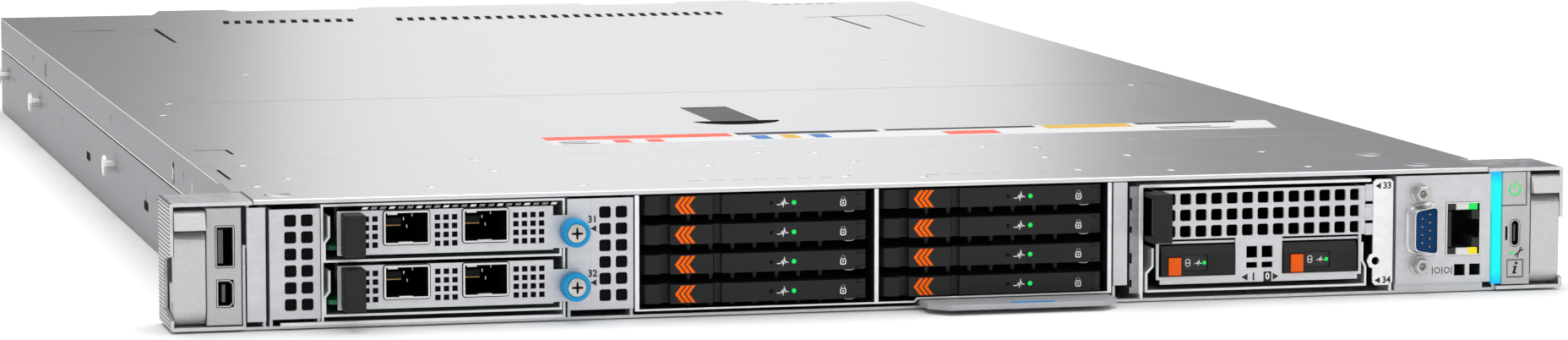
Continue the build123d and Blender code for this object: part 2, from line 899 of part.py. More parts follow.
keep(card_bay_frame.part, "card_bay_frame")


def network_card(card):
    """A card with its face, board, two socket cages, pull tab and cooler."""
    drop = card * card_pitch
    face_z = (card_bottom - drop, card_top - drop)
    board_bottom_z = face_z[0] + board_setback
    board_top_z = board_bottom_z + card_board_thickness
    screw_at = (screw_x, screw_z - drop)
    cage_back_y = card_face + cage_depth
    with BuildPart() as body:
        with BuildSketch(facing(card_face)):
            window((card_left, card_right), face_z, Mode.ADD)
            tab_z = (screw_at[1] - ear_tab_radius, screw_at[1] + ear_tab_radius)
            window((card_right, screw_x), tab_z, Mode.ADD)
            with Locations(screw_at):
                RegularPolygon(ear_tab_radius, ear_tab_sides, major_radius=False, rotation=180 / ear_tab_sides)
                bore(shaft_radius + running_fit)
            for inset, columns in zip(vent_offsets, vent_columns):
                vent_top = face_z[1] - board_setback
                perforations(card_left + inset, vent_top, columns, vent_rows, vent_size, vent_pitch)
        extrude(amount=-thin_sheet)
        board_back_y = card_face + card_length - board_setback
        block((board_left, board_right), (card_face + thin_sheet, board_back_y), (board_bottom_z, board_top_z))
        for inset in cage_offsets:
            cage = (card_left + inset, card_left + inset + cage_width)
            block(cage, (card_face - cage_reach, cage_back_y), (board_top_z, board_top_z + cage_height))
        for inset in cage_offsets:
            hollow_x = (card_left + inset + cage_wall, card_left + inset + cage_width - cage_wall)
            hollow_z = (board_top_z + cage_wall, board_top_z + cage_height - cage_wall)
            block(hollow_x, (card_face - cage_reach, cage_back_y - cage_wall), hollow_z, Mode.SUBTRACT)
        cooler_x = (card_left + card_right - cooler_width) / 2
        cooler_y = (card_face + cooler_from, card_face + cooler_from + cooler_length)
        with BuildSketch(facing(cooler_y[0])):
            window((cooler_x, cooler_x + cooler_width), (board_top_z, board_top_z + cooler_base), Mode.ADD)
            fin_middle = board_top_z + cooler_base + cooler_fin_height / 2
            fin_pitch = (cooler_width - cooler_fin) / (cooler_fins - 1)
            with Locations((cooler_x + cooler_width / 2, fin_middle)):
                with GridLocations(fin_pitch, cooler_fin_height, cooler_fins, 1):
                    Rectangle(cooler_fin, cooler_fin_height)
        extrude(amount=-cooler_length)
        pull_left = card_left + pull_offset
        pull_bottom = face_z[0] + cage_wall
        with BuildSketch(Plane.XY.offset(pull_bottom)):
            window((pull_left, pull_left + pull_width), (card_face - pull_reach, card_face), Mode.ADD)
        extrude(amount=pull_height)
    return body.part


def thumbscrew(card):
    """A ridged knob with a raised core, a cross recess and a captive shaft."""
    screw_at = (screw_x, screw_z - card * card_pitch)
    knob_back = card_face - cage_front_gap
    knob_front = knob_back - screw_length
    core_front = knob_front - screw_core_reach
    with BuildPart() as body:
        with BuildSketch(facing(knob_front)):
            with Locations(screw_at):
                RegularPolygon(screw_radius, round_sides)
                with PolarLocations(screw_radius, round_sides):
                    Rectangle(ridge_width, ridge_width, mode=Mode.SUBTRACT)
        extrude(amount=-screw_length)
        with BuildSketch(facing(core_front)):
            with Locations(screw_at):
                RegularPolygon(screw_core_radius, round_sides)
        extrude(amount=-screw_core_reach)
        with BuildSketch(facing(core_front)):
            with Locations(screw_at):
                Rectangle(recess_span, recess_width)
                Rectangle(recess_width, recess_span)
        extrude(amount=-recess_depth, mode=Mode.SUBTRACT)
        with BuildSketch(facing(knob_back)):
            with Locations(screw_at):
                pin(shaft_radius)
        extrude(amount=-shaft_length)
    return body.part


for card in range(2):
    keep(network_card(card), f"network_card_{card + 1}")
    keep(thumbscrew(card), f"thumbscrew_{card + 1}")

# Drive cage: outer walls, divider, roof and a floor that steps up over the information tag
drive_left = cage_left + outer_wall + drive_side_gap
drive_top = body_height - drive_top_drop
drive_front = front - drive_reach
tag_right = cage_right - tag_right_gap
tag_left = tag_right - tag_width
floor_low_top = cage_floor + cage_floor_sheet / 2
floor_high_top = floor_low_top + cage_floor_step
with BuildPart() as drive_cage:
    step_at = tag_left - tag_side_room
    floor_line = [
        (cage_left, cage_floor),
        (step_at, cage_floor),
        (step_at + cage_floor_step, cage_floor + cage_floor_step),
        (cage_right, cage_floor + cage_floor_step),
    ]
    folded(floor_line, cage_floor_sheet, (front + cage_front_gap, cage_back))
    inner_faces = []
    with BuildSketch(facing(front + cage_front_gap)):
        window((cage_left, cage_left + outer_wall), (floor_low_top, body_height - cage_roof_drop), Mode.ADD)
        for column in range(1, drive_columns + 1):
            last = column == drive_columns
            right_gap = last_right_gap if last else drive_right_gap
            wall_left = drive_left + (column - 1) * drive_pitch_x + drive_width + right_gap
            wall_base = floor_high_top if last else floor_low_top
            window((wall_left, wall_left + inner_wall), (wall_base, body_height - cage_roof_drop), Mode.ADD)
            inner_faces += [(wall_left - right_gap - drive_width - drive_side_gap, 1), (wall_left, -1)]
    extrude(amount=-(cage_length - cage_front_gap))
    roof_span = (front + sheet + fit_gap, cage_back)
    block((cage_left, cage_right), roof_span, (body_height - cage_roof_drop, cover_under))
    with BuildSketch(facing(front + ledge_setback)):
        for row in range(drive_rows - 1):
            ledge_top = drive_top - drive_height - row * drive_pitch - fit_gap
            for x, way in inner_faces:
                window((x, x + way * ledge_reach), (ledge_top - ledge_thickness, ledge_top), Mode.ADD)
    extrude(amount=-(cage_length - ledge_setback))
keep(drive_cage.part, "drive_cage")

# Backplane behind the drives, with one socket for each drive
with BuildPart() as drive_backplane:
    with BuildSketch(facing(cage_back)):
        window((cage_left, cage_right), (backplane_bottom, body_height - cage_roof_drop), Mode.ADD)
    extrude(amount=-backplane_thickness)
    socket_middle = (
        drive_left + drive_width / 2 + (drive_columns - 1) * drive_pitch_x / 2,
        drive_top - drive_height / 2 - (drive_rows - 1) * drive_pitch / 2,
    )
    with BuildSketch(facing(cage_back - socket_length)):
        with Locations(socket_middle):
            with GridLocations(drive_pitch_x, drive_pitch, drive_columns, drive_rows):
                Rectangle(socket_width, socket_height)
    extrude(amount=-socket_length)
keep(drive_backplane.part, "drive_backplane")

bar_front = drive_front + bezel + fit_gap
bar_back = bar_front + carrier_bar


def drive_place(column, row):
    """Left edge, bottom and hinge centre of one drive."""
    left = drive_left + column * drive_pitch_x
    bottom = drive_top - drive_height - row * drive_pitch
    pivot = (left + drive_width - knuckle_radius, drive_front + knuckle_radius)
    return left, bottom, pivot


def drive_carrier(column, row):
    """A carrier bar with a faceted end, hinge lugs, cooling pegs and the drive's case."""
    left, bottom, pivot = drive_place(column, row)
    right = left + drive_width
    facet = left + facet_width
    with BuildPart() as body:
        with BuildSketch(Plane.XY.offset(bottom)):
            with BuildLine():
                Polyline((facet, bar_front), (right, bar_front), (right, bar_back), (left, bar_back))
                Polyline(
                    (left, bar_back),
                    (left, drive_front + bezel + drive_reach),
                    (left + facet_width / 5, drive_front + bezel * 0.6),
                    (left + facet_width / 2, drive_front + bezel * 0.45),
                    (facet, drive_front + bezel / 3),
                    (facet, bar_front),
                )
            make_face()
            with Locations(pivot):
                pin(knuckle_radius)
        extrude(amount=drive_height)
        with BuildSketch(Plane.XY.offset(bottom + lug_thickness)):
            with Locations(pivot):
                Rectangle(2 * knuckle_radius + 2 * fit_gap, 2 * knuckle_radius + 2 * fit_gap)
                pin(hinge_pin_radius, Mode.SUBTRACT)
        extrude(amount=drive_height - 2 * lug_thickness, mode=Mode.SUBTRACT)
        case_left = left + (drive_width - drive_case_width) / 2
        case_back = bar_back + drive_case_length
        case_z = (bottom + case_shave, bottom + drive_height - case_shave)
        block((case_left, case_left + drive_case_width), (bar_back, case_back), case_z)
        with BuildSketch(facing(case_back)):
            with Locations((left + drive_width / 2, bottom + drive_height / 2)):
                Rectangle(edge_width, edge_thickness)
        extrude(amount=-edge_length)
        room = bottom - (floor_low_top if column == 0 else floor_high_top) - fit_gap
        length = min(peg_length, room) if row == drive_rows - 1 else peg_length
        if length > sheet:
            with BuildSketch(facing(bar_front + peg_setback)):
                with Locations((left + peg_middle, bottom - length / 2)):
                    with GridLocations(peg_pitch, peg_pitch, peg_count, 1):
                        Trapezoid(peg_size, length, 90 + peg_taper)
            extrude(amount=-peg_size)
    return body.part


def drive_handle(column, row):
    """The swinging front handle with its knuckle and grip groove."""
    left, bottom, pivot = drive_place(column, row)
    start = left + handle_from
    bar = (drive_front, drive_front + bezel)
    with BuildPart() as body:
        with BuildSketch(Plane.XY.offset(bottom)):
            Polygon(
                (start, bar[0] + grip_depth),
                (start + grip_groove, bar[0] + grip_depth),
                (start + grip_groove, bar[0]),
                (pivot[0], bar[0]),
                (pivot[0], bar[1]),
                (start, bar[1]),
                align=None,
            )
            with Locations(pivot):
                pin(knuckle_radius)
                bore(hinge_pin_radius + running_fit)
        extrude(amount=drive_height)
        lug_room = lug_thickness + case_shave
        for plane_z in (bottom, bottom + drive_height - lug_room):
            with BuildSketch(Plane.XY.offset(plane_z)):
                with Locations(pivot):
                    bore(knuckle_radius + fit_gap, Mode.ADD)
            extrude(amount=lug_room, mode=Mode.SUBTRACT)
    return body.part


def drive_release(column, row):
    """The sliding release button left of the handle."""
    left, bottom, _ = drive_place(column, row)
    with BuildPart() as body:
        with BuildSketch(Plane.XY.offset(bottom)):
            window((left + button_from, left + button_to), (drive_front, drive_front + bezel), Mode.ADD)
        extrude(amount=drive_height)
        left_front = body.edges().filter_by(Axis.Z).group_by(Axis.Y)[0].sort_by(Axis.X)[0]
        chamfer(left_front, button_chamfer / 2, button_chamfer)
    return body.part


for column in range(drive_columns):
    for row in range(drive_rows):
        number = column * drive_rows + row + 1
        keep(drive_carrier(column, row), f"drive_{number}")
        keep(drive_handle(column, row), f"drive_handle_{number}")
        keep(drive_release(column, row), f"drive_release_{number}")

# Information tag: thin plate with bevelled front corners that slides out under the drives
tag_front = front - tag_reach
with BuildPart() as info_tag:
    with BuildSketch(Plane.XY.offset(tag_bottom)) as tag_outline:
        window((tag_left, tag_right), (tag_front, tag_front + tag_length), Mode.ADD)
        chamfer(tag_outline.vertices().group_by(Axis.Y)[0], tag_corner)
    extrude(amount=tag_thickness)
    fillet(info_tag.edges().filter_by(Axis.X).group_by(Axis.Y)[0], tag_edge)
keep(info_tag.part, "info_tag")

# Boot bay: wall and top rail, a jogged tray below the module, and the bracket on its right
boot_bay_back = front + boot_length
with BuildPart() as boot_bay_frame:
    wall_x = boot_wall_left + sheet / 2
    rail_z = body_height - boot_rail_drop
    rail_right = boot_right + boot_bay_jog
    folded([(wall_x, floor_top), (wall_x, rail_z), (rail_right, rail_z)], sheet, (front, boot_bay_back))
    upper_left = boot_left + thin_sheet / 2
    upper_right = boot_right - thin_sheet / 2
    jog_z = boot_drive_bottom + sheet
    tray_line = [
        (upper_left, boot_shelf_z - boot_rail_drop / 2),
        (upper_left, jog_z + boot_bay_jog),
        (upper_left - boot_bay_jog, jog_z),
        (upper_left - boot_bay_jog, boot_bay_floor),
        (upper_right + boot_bay_jog - sheet, boot_bay_floor),
        (upper_right + boot_bay_jog - sheet, jog_z),
        (upper_right, jog_z + boot_bay_jog),
        (upper_right, boot_shelf_z - boot_rail_drop / 2),
    ]
    folded(tray_line, thin_sheet, (front + sheet + fit_gap, boot_bay_back))
    tie_x = (boot_wall_left + sheet, upper_left - boot_bay_jog)
    block(tie_x, (front + return_length, boot_bay_back), (boot_bay_floor, boot_bay_floor + sheet))
    bracket_middle = (bracket_left + bracket_width / 2, bracket_bottom + bracket_height / 2)
    with BuildSketch(facing(front)) as bracket_face:
        with Locations(bracket_middle):
            Rectangle(bracket_width, bracket_height)
        chamfer(bracket_face.vertices(), bracket_corner)
        with Locations((bracket_left + sheet, bracket_hole_z)):
            pin(bracket_tab_radius)
            bore(bracket_hole_radius)
    extrude(amount=-sheet)
    bracket_right = bracket_left + bracket_width
    bracket_return = (floor_top, bracket_bottom + bracket_height - bracket_corner)
    block((bracket_right - sheet, bracket_right), (front + sheet, front + sheet + return_length), bracket_return)
keep(boot_bay_frame.part, "boot_bay_frame")

# Boot module: perforated face, folded tray for two small drives and a looped pull tab
boot_back = front + boot_length - return_length / 3
boot_face_bottom = boot_top - boot_face_height
boot_lip_top = boot_lip_bottom + boot_lip_height
with BuildPart() as boot_module:
    with BuildSketch(facing(front)):
        window((boot_left, boot_right), (boot_face_bottom, boot_top), Mode.ADD)
        strip_left = boot_left + boot_strip_offset
        window((strip_left, strip_left + boot_strip_width), (boot_lip_bottom, boot_face_bottom), Mode.ADD)
        lip = (boot_left + boot_lip_inset, boot_right - boot_lip_inset)
        window(lip, (boot_lip_bottom, boot_lip_top), Mode.ADD)
        perforations(boot_left + boot_hole_offset, boot_top - boot_hole_drop, boot_columns, boot_rows)
        for inset in strip_vent_offsets:
            for top, height in zip(strip_vent_tops, strip_vent_heights):
                vent_left = strip_left + inset
                window((vent_left, vent_left + strip_vent_size), (top - height, top))
    extrude(amount=-sheet)
    side_l = boot_left + boot_tray_inset + sheet / 2
    side_r = boot_right - boot_tray_inset - sheet / 2
    floor_z = boot_tray_floor + sheet / 2
    folded([(side_l, boot_top), (side_l, floor_z), (side_r, floor_z), (side_r, boot_top)], sheet, (front, boot_back))
    inside_x = (side_l, side_r)
    block(inside_x, (boot_back - sheet, boot_back), (floor_z, boot_top))
    shelf_span = (boot_shelf_z - thin_sheet / 2, boot_shelf_z + thin_sheet / 2)
    block(inside_x, (front + sheet, front + boot_shelf_length), shelf_span)
    loop_left = boot_left - boot_tab_left_reach
    loop_z = (boot_top - boot_tab_height, boot_top)
    with BuildSketch(Plane.YZ.offset(loop_left)):
        window((front - boot_tab_reach, front), loop_z, Mode.ADD)
        hollow_z = (loop_z[0] + boot_tab_wall, loop_z[1] - boot_tab_wall)
        window((front - boot_tab_reach + boot_tab_wall, front), hollow_z)
    extrude(amount=boot_tab_width)
keep(boot_module.part, "boot_module")


def boot_drive(left):
    """A small drive carrier with a sloped head and a raised release."""
    bottom = boot_drive_bottom
    top = boot_drive_bottom + boot_drive_height
    tip = front - boot_drive_reach
    with BuildPart() as body:
        with BuildSketch(Plane.YZ.offset(left)):
            Polygon(
                (tip, bottom),
                (tip, top - boot_drive_slope),
                (tip + boot_drive_slope / 2, top),
                (front + boot_drive_head, top),
                (front + boot_drive_head + boot_drive_slope, top - boot_drive_slope),
                (front + boot_drive_length, top - boot_drive_slope),
                (front + boot_drive_length, bottom),
                align=None,
            )
        extrude(amount=boot_drive_width)
        face_top = top - boot_drive_slope
        with BuildSketch(facing(tip)):
            lamp_left = left + lamp_pocket_offset
            lamp_z_span = (bottom + lamp_pocket_inset, face_top - release_gap)
            window((lamp_left, lamp_left + lamp_pocket_width), lamp_z_span, Mode.ADD)
        extrude(amount=-boot_drive_reach, mode=Mode.SUBTRACT)
        release = (left + release_offset, left + release_offset + release_width)
        release_z = (bottom + release_gap, bottom + release_gap + release_height)
        with BuildSketch(facing(tip)):
            window(release, release_z, Mode.ADD)
            offset(amount=release_gap, kind=Kind.INTERSECTION)
        extrude(amount=-boot_drive_slope, mode=Mode.SUBTRACT)
        with BuildSketch(facing(tip - release_reach)):
            window(release, release_z, Mode.ADD)
        extrude(amount=-(boot_drive_slope + release_reach))
    return body.part


for index, inset in enumerate(boot_drive_offsets):
    keep(boot_drive(boot_left + inset), f"boot_drive_{index}")

# Management panel: sheet with the network opening and vents, folded under to stand on the floor
management_top = management_bottom + management_height
foot_right = management_right - right_margin
with BuildPart() as management_panel:
    with BuildSketch(facing(front)):
        window((management_left, management_right), (management_bottom, management_top), Mode.ADD)
        jack_room = (jack_left - shell_gap, jack_right + shell_gap)
        window(jack_room, (jack_bottom - shell_gap, jack_top + shell_gap))
        perforations(jack_right - hole_pitch - hole_size, management_vent_top, 2, 1)
    extrude(amount=-sheet)
    fold_back = front + sheet + return_length
    left_return = (management_left, management_left + sheet)
    block(left_return, (front + sheet, fold_back), (floor_top, management_top))
    block((management_left, foot_right), (front + sheet, fold_back), (floor_top, floor_top + sheet))
    block((management_left, foot_right), (front + sheet, front + 2 * sheet), (floor_top, management_bottom + sheet))
keep(management_panel.part, "management_panel")

# Rail studs: turned mushroom-headed studs on both side walls
with BuildPart() as rail_studs:
    for side in (-1, 1):
        for wall_gap, radius, length in ((0, stud_radius, stud_neck), (stud_neck, stud_head_radius, stud_head)):
            with BuildSketch(Plane.YZ.offset(side * (half_body + wall_gap))):
                with Locations(*[(body_length - inset, stud_height) for inset in stud_rear_insets]):
                    pin(radius)
            extrude(amount=side * length)
keep(rail_studs.part, "rail_studs")

# Fan modules: square ducts with bored housings, bladed rotors and motor struts
fan_pitch = (2 * half_body - 2 * fan_side_room) / fan_count
fan_middle = floor_top + fan_height / 2
blade_middle = fan_hub + fan_blade_length / 2 - fan_blade_thickness / 2
with BuildPart() as fan_modules:
    for n in range(fan_count):
        fan_at = ((n - (fan_count - 1) / 2) * fan_pitch, fan_middle)
        with BuildSketch(facing(fan_front)):
            with Locations(fan_at):
                Rectangle(fan_width, fan_height)
                RegularPolygon(fan_bore, round_sides, major_radius=False, mode=Mode.SUBTRACT)
        extrude(amount=-fan_length)
        rotor_front = fan_front + fan_rotor_from
        with BuildSketch(facing(rotor_front)):
            with Locations(fan_at):
                RegularPolygon(fan_hub, fan_hub_sides)
                with PolarLocations(blade_middle, fan_blades):
                    Rectangle(fan_blade_length, fan_blade_thickness)
        extrude(amount=-fan_blade_depth)
        motor_front = rotor_front + fan_blade_depth + fit_gap
        with BuildSketch(facing(motor_front)):
            with Locations(fan_at):
                RegularPolygon(motor_radius, fan_hub_sides)
        extrude(amount=-motor_length)
        with BuildSketch(facing(motor_front + motor_length - strut_thickness)):
            with Locations(fan_at):
                Rectangle(2 * fan_bore + sheet, strut_width)
        extrude(amount=-strut_thickness)
keep(fan_modules.part, "fan_modules")

# System board on its standoffs, with the two processors
board_top = board_bottom + board_thickness
board_half = half_body - board_side_room
with BuildPart() as system_board:
    block((-board_half, board_half), (board_front, board_back), (board_bottom, board_top))
    with BuildSketch(Plane.XY.offset(floor_top)):
        with Locations((0, (board_front + board_back) / 2)):
            standoff_pitch_x = 2 * (board_half - standoff_inset) / (standoff_columns - 1)
            standoff_pitch_y = (board_back - board_front - 2 * standoff_inset) / (standoff_rows - 1)
            with GridLocations(standoff_pitch_x, standoff_pitch_y, standoff_columns, standoff_rows):
                RegularPolygon(standoff_radius, 6)
    extrude(amount=board_bottom - floor_top)
    sink_middle_y = sink_front + sink_length / 2
    with BuildSketch(Plane.XY.offset(board_top)):
        with Locations((0, sink_middle_y)):
            with GridLocations(2 * processor_spread, 1, 2, 1):
                Rectangle(processor_width, processor_width)
    extrude(amount=processor_height)
keep(system_board.part, "system_board")

# Heat sinks: a base and a row of fins over each processor
sink_bottom = board_top + processor_height
with BuildPart() as heat_sinks:
    for side in (-1, 1):
        with BuildSketch(facing(sink_front)):
            with Locations((side * processor_spread, sink_bottom + sink_base / 2)):
                Rectangle(sink_width, sink_base)
            fin_pitch = (sink_width - sink_fin) / (sink_fins - 1)
            with Locations((side * processor_spread, sink_bottom + sink_base + sink_fin_height / 2)):
                with GridLocations(fin_pitch, sink_fin_height, sink_fins, 1):
                    Rectangle(sink_fin, sink_fin_height)
        extrude(amount=-sink_length)
keep(heat_sinks.part, "heat_sinks")

# Memory modules standing in their banks
with BuildPart() as memory_modules:
    with BuildSketch(facing(memory_front)):
        for bank in memory_banks:
            for slot in range(memory_per_bank):
                x = bank + slot * memory_pitch
                window((x, x + memory_thickness), (board_top, board_top + memory_height), Mode.ADD)
    extrude(amount=-memory_length)
keep(memory_modules.part, "memory_modules")

# Air shroud over the processors and memory
with BuildPart() as air_shroud:
    shroud_x = half_body - shroud_side_room
    shroud_z = body_height - shroud_drop
    shroud_line = [(-shroud_x, board_top), (-shroud_x, shroud_z), (shroud_x, shroud_z), (shroud_x, board_top)]
    folded(shroud_line, shroud_sheet, (shroud_front, shroud_front + shroud_length))
    with BuildSketch(Plane.XY.offset(shroud_z - shroud_sheet)):
        with Locations((0, shroud_front + shroud_length / 2)):
            with GridLocations(shroud_slot_pitch, 1, shroud_slots, 1):
                Rectangle(shroud_slot_width, shroud_slot_length)
    extrude(amount=2 * shroud_sheet, mode=Mode.SUBTRACT)
keep(air_shroud.part, "air_shroud")

# Top cover: sheet with side flanges, rear tongues, a recessed pan for the latch and a finger scoop
latch_plate_back = latch_plate_from + latch_plate_length
pan_front = latch_plate_from - fit_gap
pan_back = latch_plate_back + fit_gap
pan_half = latch_plate_width / 2 + fit_gap
cover_pivot = (latch_plate_back - latch_knuckle - running_fit, body_height - latch_plate_drop - latch_knuckle)
with BuildPart() as top_cover:
    with BuildSketch(Plane.XY.offset(cover_under)):
        window((-half_body, half_body), (seam, body_length), Mode.ADD)
        step_span = (tongue_spans[0][0] + tongue_slope, tongue_spans[-1][-1] - tongue_slope)
        window(step_span, (body_length, body_length + step_tongue_reach), Mode.ADD)
        tip = body_length + tongue_reach
        for low, high in tongue_spans:
            root = (low - tongue_slope, high + tongue_slope)
            Polygon((root[0], body_length), (low, tip), (high, tip), (root[1], body_length), align=None)
    extrude(amount=sheet)
    for side in (-1, 1):
        flange = (side * (half_body - sheet), side * half_body)
        block(flange, (seam, body_length), (flange_bottom, cover_under))
        notch = (cover_pin_y - cover_notch_width / 2, cover_pin_y + cover_notch_width / 2)
        block(flange, notch, (flange_bottom, cover_pin_z + cover_notch_top), Mode.SUBTRACT)
        with BuildSketch(Plane.XY.offset(cover_under)):
            slit_x = side * (half_body - slit_side - slit_run)
            slit_y = body_length - slit_back
            window((side * (half_body - slit_side), slit_x), (slit_y, slit_y + slit_width), Mode.ADD)
            window((slit_x, slit_x + side * slit_width), (slit_y - slit_length, slit_y + slit_width), Mode.ADD)
        extrude(amount=sheet, mode=Mode.SUBTRACT)
    for grow, bottom, top, mode in (
        (sheet, cover_under - pan_depth, cover_under, Mode.ADD),
        (0, cover_under - pan_depth + sheet, body_height, Mode.SUBTRACT),
    ):
        with BuildSketch(Plane.XY.offset(bottom)):
            with Locations((0, pan_front)):
                Ellipse(scoop_half_width + grow, scoop_length + grow)
            scoop_span = (-scoop_half_width - grow, scoop_half_width + grow)
            window(scoop_span, (pan_front + grow, pan_front + scoop_length + grow))
            window((-pan_half - grow, pan_half + grow), (pan_front, pan_back + grow), Mode.ADD)
        extrude(amount=top - bottom, mode=mode)
    with BuildSketch(Plane.YZ.offset(-pan_half)):
        with Locations(cover_pivot):
            pin(cover_hinge_radius)
    extrude(amount=2 * pan_half)
keep(top_cover.part, "top_cover")

# Cover latch: flush plate that lifts at its front about a rear pin
with BuildPart() as cover_latch:
    plate_top = body_height - latch_plate_drop
    with BuildSketch(Plane.YZ.offset(-latch_plate_width / 2)):
        window((latch_plate_from, cover_pivot[0]), (plate_top - latch_plate_thickness, plate_top), Mode.ADD)
        with Locations(cover_pivot):
            pin(latch_knuckle)
            bore(cover_hinge_radius + running_fit)
    extrude(amount=latch_plate_width)
keep(cover_latch.part, "cover_latch")


def power_supply(side):
    """A supply with a pull loop, a mains inlet and a grille at its rear end."""
    middle = side * (supply_inner + supply_width / 2)
    base = floor_top + fit_gap
    loop_x = middle + side * loop_offset
    inlet_x = middle - side * inlet_offset
    with BuildPart() as body:
        block((side * supply_inner, side * supply_outer), (supply_front, body_length), (base, base + supply_height))
        with BuildSketch(Plane.YZ.offset(loop_x - loop_width / 2)):
            window((body_length, body_length + loop_reach), (base + loop_low, base + loop_high), Mode.ADD)
            hollow_z = (base + loop_low + loop_wall, base + loop_high - loop_wall)
            window((body_length, body_length + loop_reach - loop_wall), hollow_z)
        extrude(amount=loop_width)
        with BuildSketch(facing(body_length)):
            with Locations((inlet_x, base + inlet_low + inlet_height / 2)):
                Rectangle(inlet_width, inlet_height)
        extrude(amount=-inlet_reach)
        with BuildSketch(facing(body_length - inlet_depth)):
            with Locations((inlet_x, base + inlet_low + inlet_height / 2)):
                Rectangle(inlet_width - 2 * inlet_wall, inlet_height - 2 * inlet_wall)
            for pin_x, pin_z in inlet_pins:
                with Locations((inlet_x + pin_x, base + pin_z)):
                    Rectangle(inlet_pin_width, inlet_pin_height, mode=Mode.SUBTRACT)
        extrude(amount=-(inlet_depth + inlet_reach), mode=Mode.SUBTRACT)
        with BuildSketch(facing(body_length)):
            with Locations((inlet_x, base + grille_z)):
                with GridLocations(grille_pitch, 1, grille_slots, 1):
                    Rectangle(grille_width, grille_height)
        extrude(amount=grille_depth, mode=Mode.SUBTRACT)
    return body.part


keep(power_supply(-1), "power_supply_1")
keep(power_supply(1), "power_supply_2")
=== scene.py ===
import logging
from dataclasses import dataclass
from enum import Enum
from math import cos, pi, radians
from typing import Callable, Sequence

import bmesh
import bpy
import numpy as np
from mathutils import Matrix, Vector


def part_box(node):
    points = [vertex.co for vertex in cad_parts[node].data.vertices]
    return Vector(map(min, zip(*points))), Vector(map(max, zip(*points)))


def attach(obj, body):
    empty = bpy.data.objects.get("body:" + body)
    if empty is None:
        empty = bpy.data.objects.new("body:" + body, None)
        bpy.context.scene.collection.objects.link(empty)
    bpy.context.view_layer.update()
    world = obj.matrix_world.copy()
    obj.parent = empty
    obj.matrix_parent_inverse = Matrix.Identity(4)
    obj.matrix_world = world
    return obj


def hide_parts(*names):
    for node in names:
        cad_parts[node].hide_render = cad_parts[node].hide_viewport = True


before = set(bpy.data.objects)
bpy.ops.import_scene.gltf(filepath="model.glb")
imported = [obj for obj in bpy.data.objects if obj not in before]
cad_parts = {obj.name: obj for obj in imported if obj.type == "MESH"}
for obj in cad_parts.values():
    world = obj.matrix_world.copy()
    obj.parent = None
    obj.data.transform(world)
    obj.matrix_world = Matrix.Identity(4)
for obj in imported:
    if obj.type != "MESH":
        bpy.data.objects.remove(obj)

LOG = logging.getLogger("rack_server")
MM = 0.001
Colour = tuple[float, float, float]
Span = tuple[float, float]


class Facing(Enum):
    """The plane an outline is drawn on: its two axes, and the axis it is carried along."""

    FRONT = (0, 2, 1)
    SIDE = (1, 2, 0)
    TOP = (0, 1, 2)

    def place(self, flat: np.ndarray, depth: np.ndarray | float) -> np.ndarray:
        """Points of the plane at a depth, as points of the row frame.

        Args:
            flat: array (..., 2) of places on the plane, in millimetres.
            depth: one depth, or one for each point.

        Returns:
            Array (..., 3) of points.
        """
        out = np.empty(flat.shape[:-1] + (3,))
        out[..., self.value[0]] = flat[..., 0]
        out[..., self.value[1]] = flat[..., 1]
        out[..., self.value[2]] = depth
        return out


# Shader maths


class Signal:
    """A shader value that takes part in Python arithmetic by adding Math nodes."""

    def __init__(self, shader: "Shader", socket: bpy.types.NodeSocket) -> None:
        """Keep the shader and the socket that carries the value."""
        self.shader = shader
        self.socket = socket

    def math(self, operation: str, *others: "Signal | float", first: bool = True) -> "Signal":
        """One Math node on this value and others.

        Args:
            operation: the node's operation.
            others: further values or numbers.
            first: whether this value is the node's first input.

        Returns:
            The node's value.
        """
        values = (self, *others) if first else (*others, self)
        node = self.shader.add("ShaderNodeMath", {"operation": operation}, dict(enumerate(values)))
        return Signal(self.shader, node.outputs[0])

    def __add__(self, other: "Signal | float") -> "Signal":
        """The sum."""
        return self.math("ADD", other)

    def __radd__(self, other: float) -> "Signal":
        """The sum, reflected."""
        return self.math("ADD", other)

    def __sub__(self, other: "Signal | float") -> "Signal":
        """The difference."""
        return self.math("SUBTRACT", other)

    def __rsub__(self, other: float) -> "Signal":
        """The difference, reflected."""
        return self.math("SUBTRACT", other, first=False)

    def __mul__(self, other: "Signal | float") -> "Signal":
        """The product."""
        return self.math("MULTIPLY", other)

    def __rmul__(self, other: float) -> "Signal":
        """The product, reflected."""
        return self.math("MULTIPLY", other)

    def __abs__(self) -> "Signal":
        """The size without its sign."""
        return self.math("ABSOLUTE")

    def above(self, limit: float) -> "Signal":
        """One where the value is above the limit, and nought elsewhere."""
        return self.math("GREATER_THAN", limit)

    def below(self, limit: float) -> "Signal":
        """One where the value is below the limit, and nought elsewhere."""
        return self.math("LESS_THAN", limit)

    def wave(self, pitch: float) -> "Signal":
        """A sine of the value, from nought to one, with the pitch in metres."""
        return (self * (2 * pi / pitch)).math("SINE") * 0.5 + 0.5

    def stretched(self, low: float, high: float) -> "Signal":
        """The value's stretch from low to high, spread from nought to one and clamped."""
        settings = {"clamp": True, "interpolation_type": "SMOOTHSTEP"}
        node = self.shader.add("ShaderNodeMapRange", settings, {0: self, 1: low, 2: high})
        return Signal(self.shader, node.outputs[0])


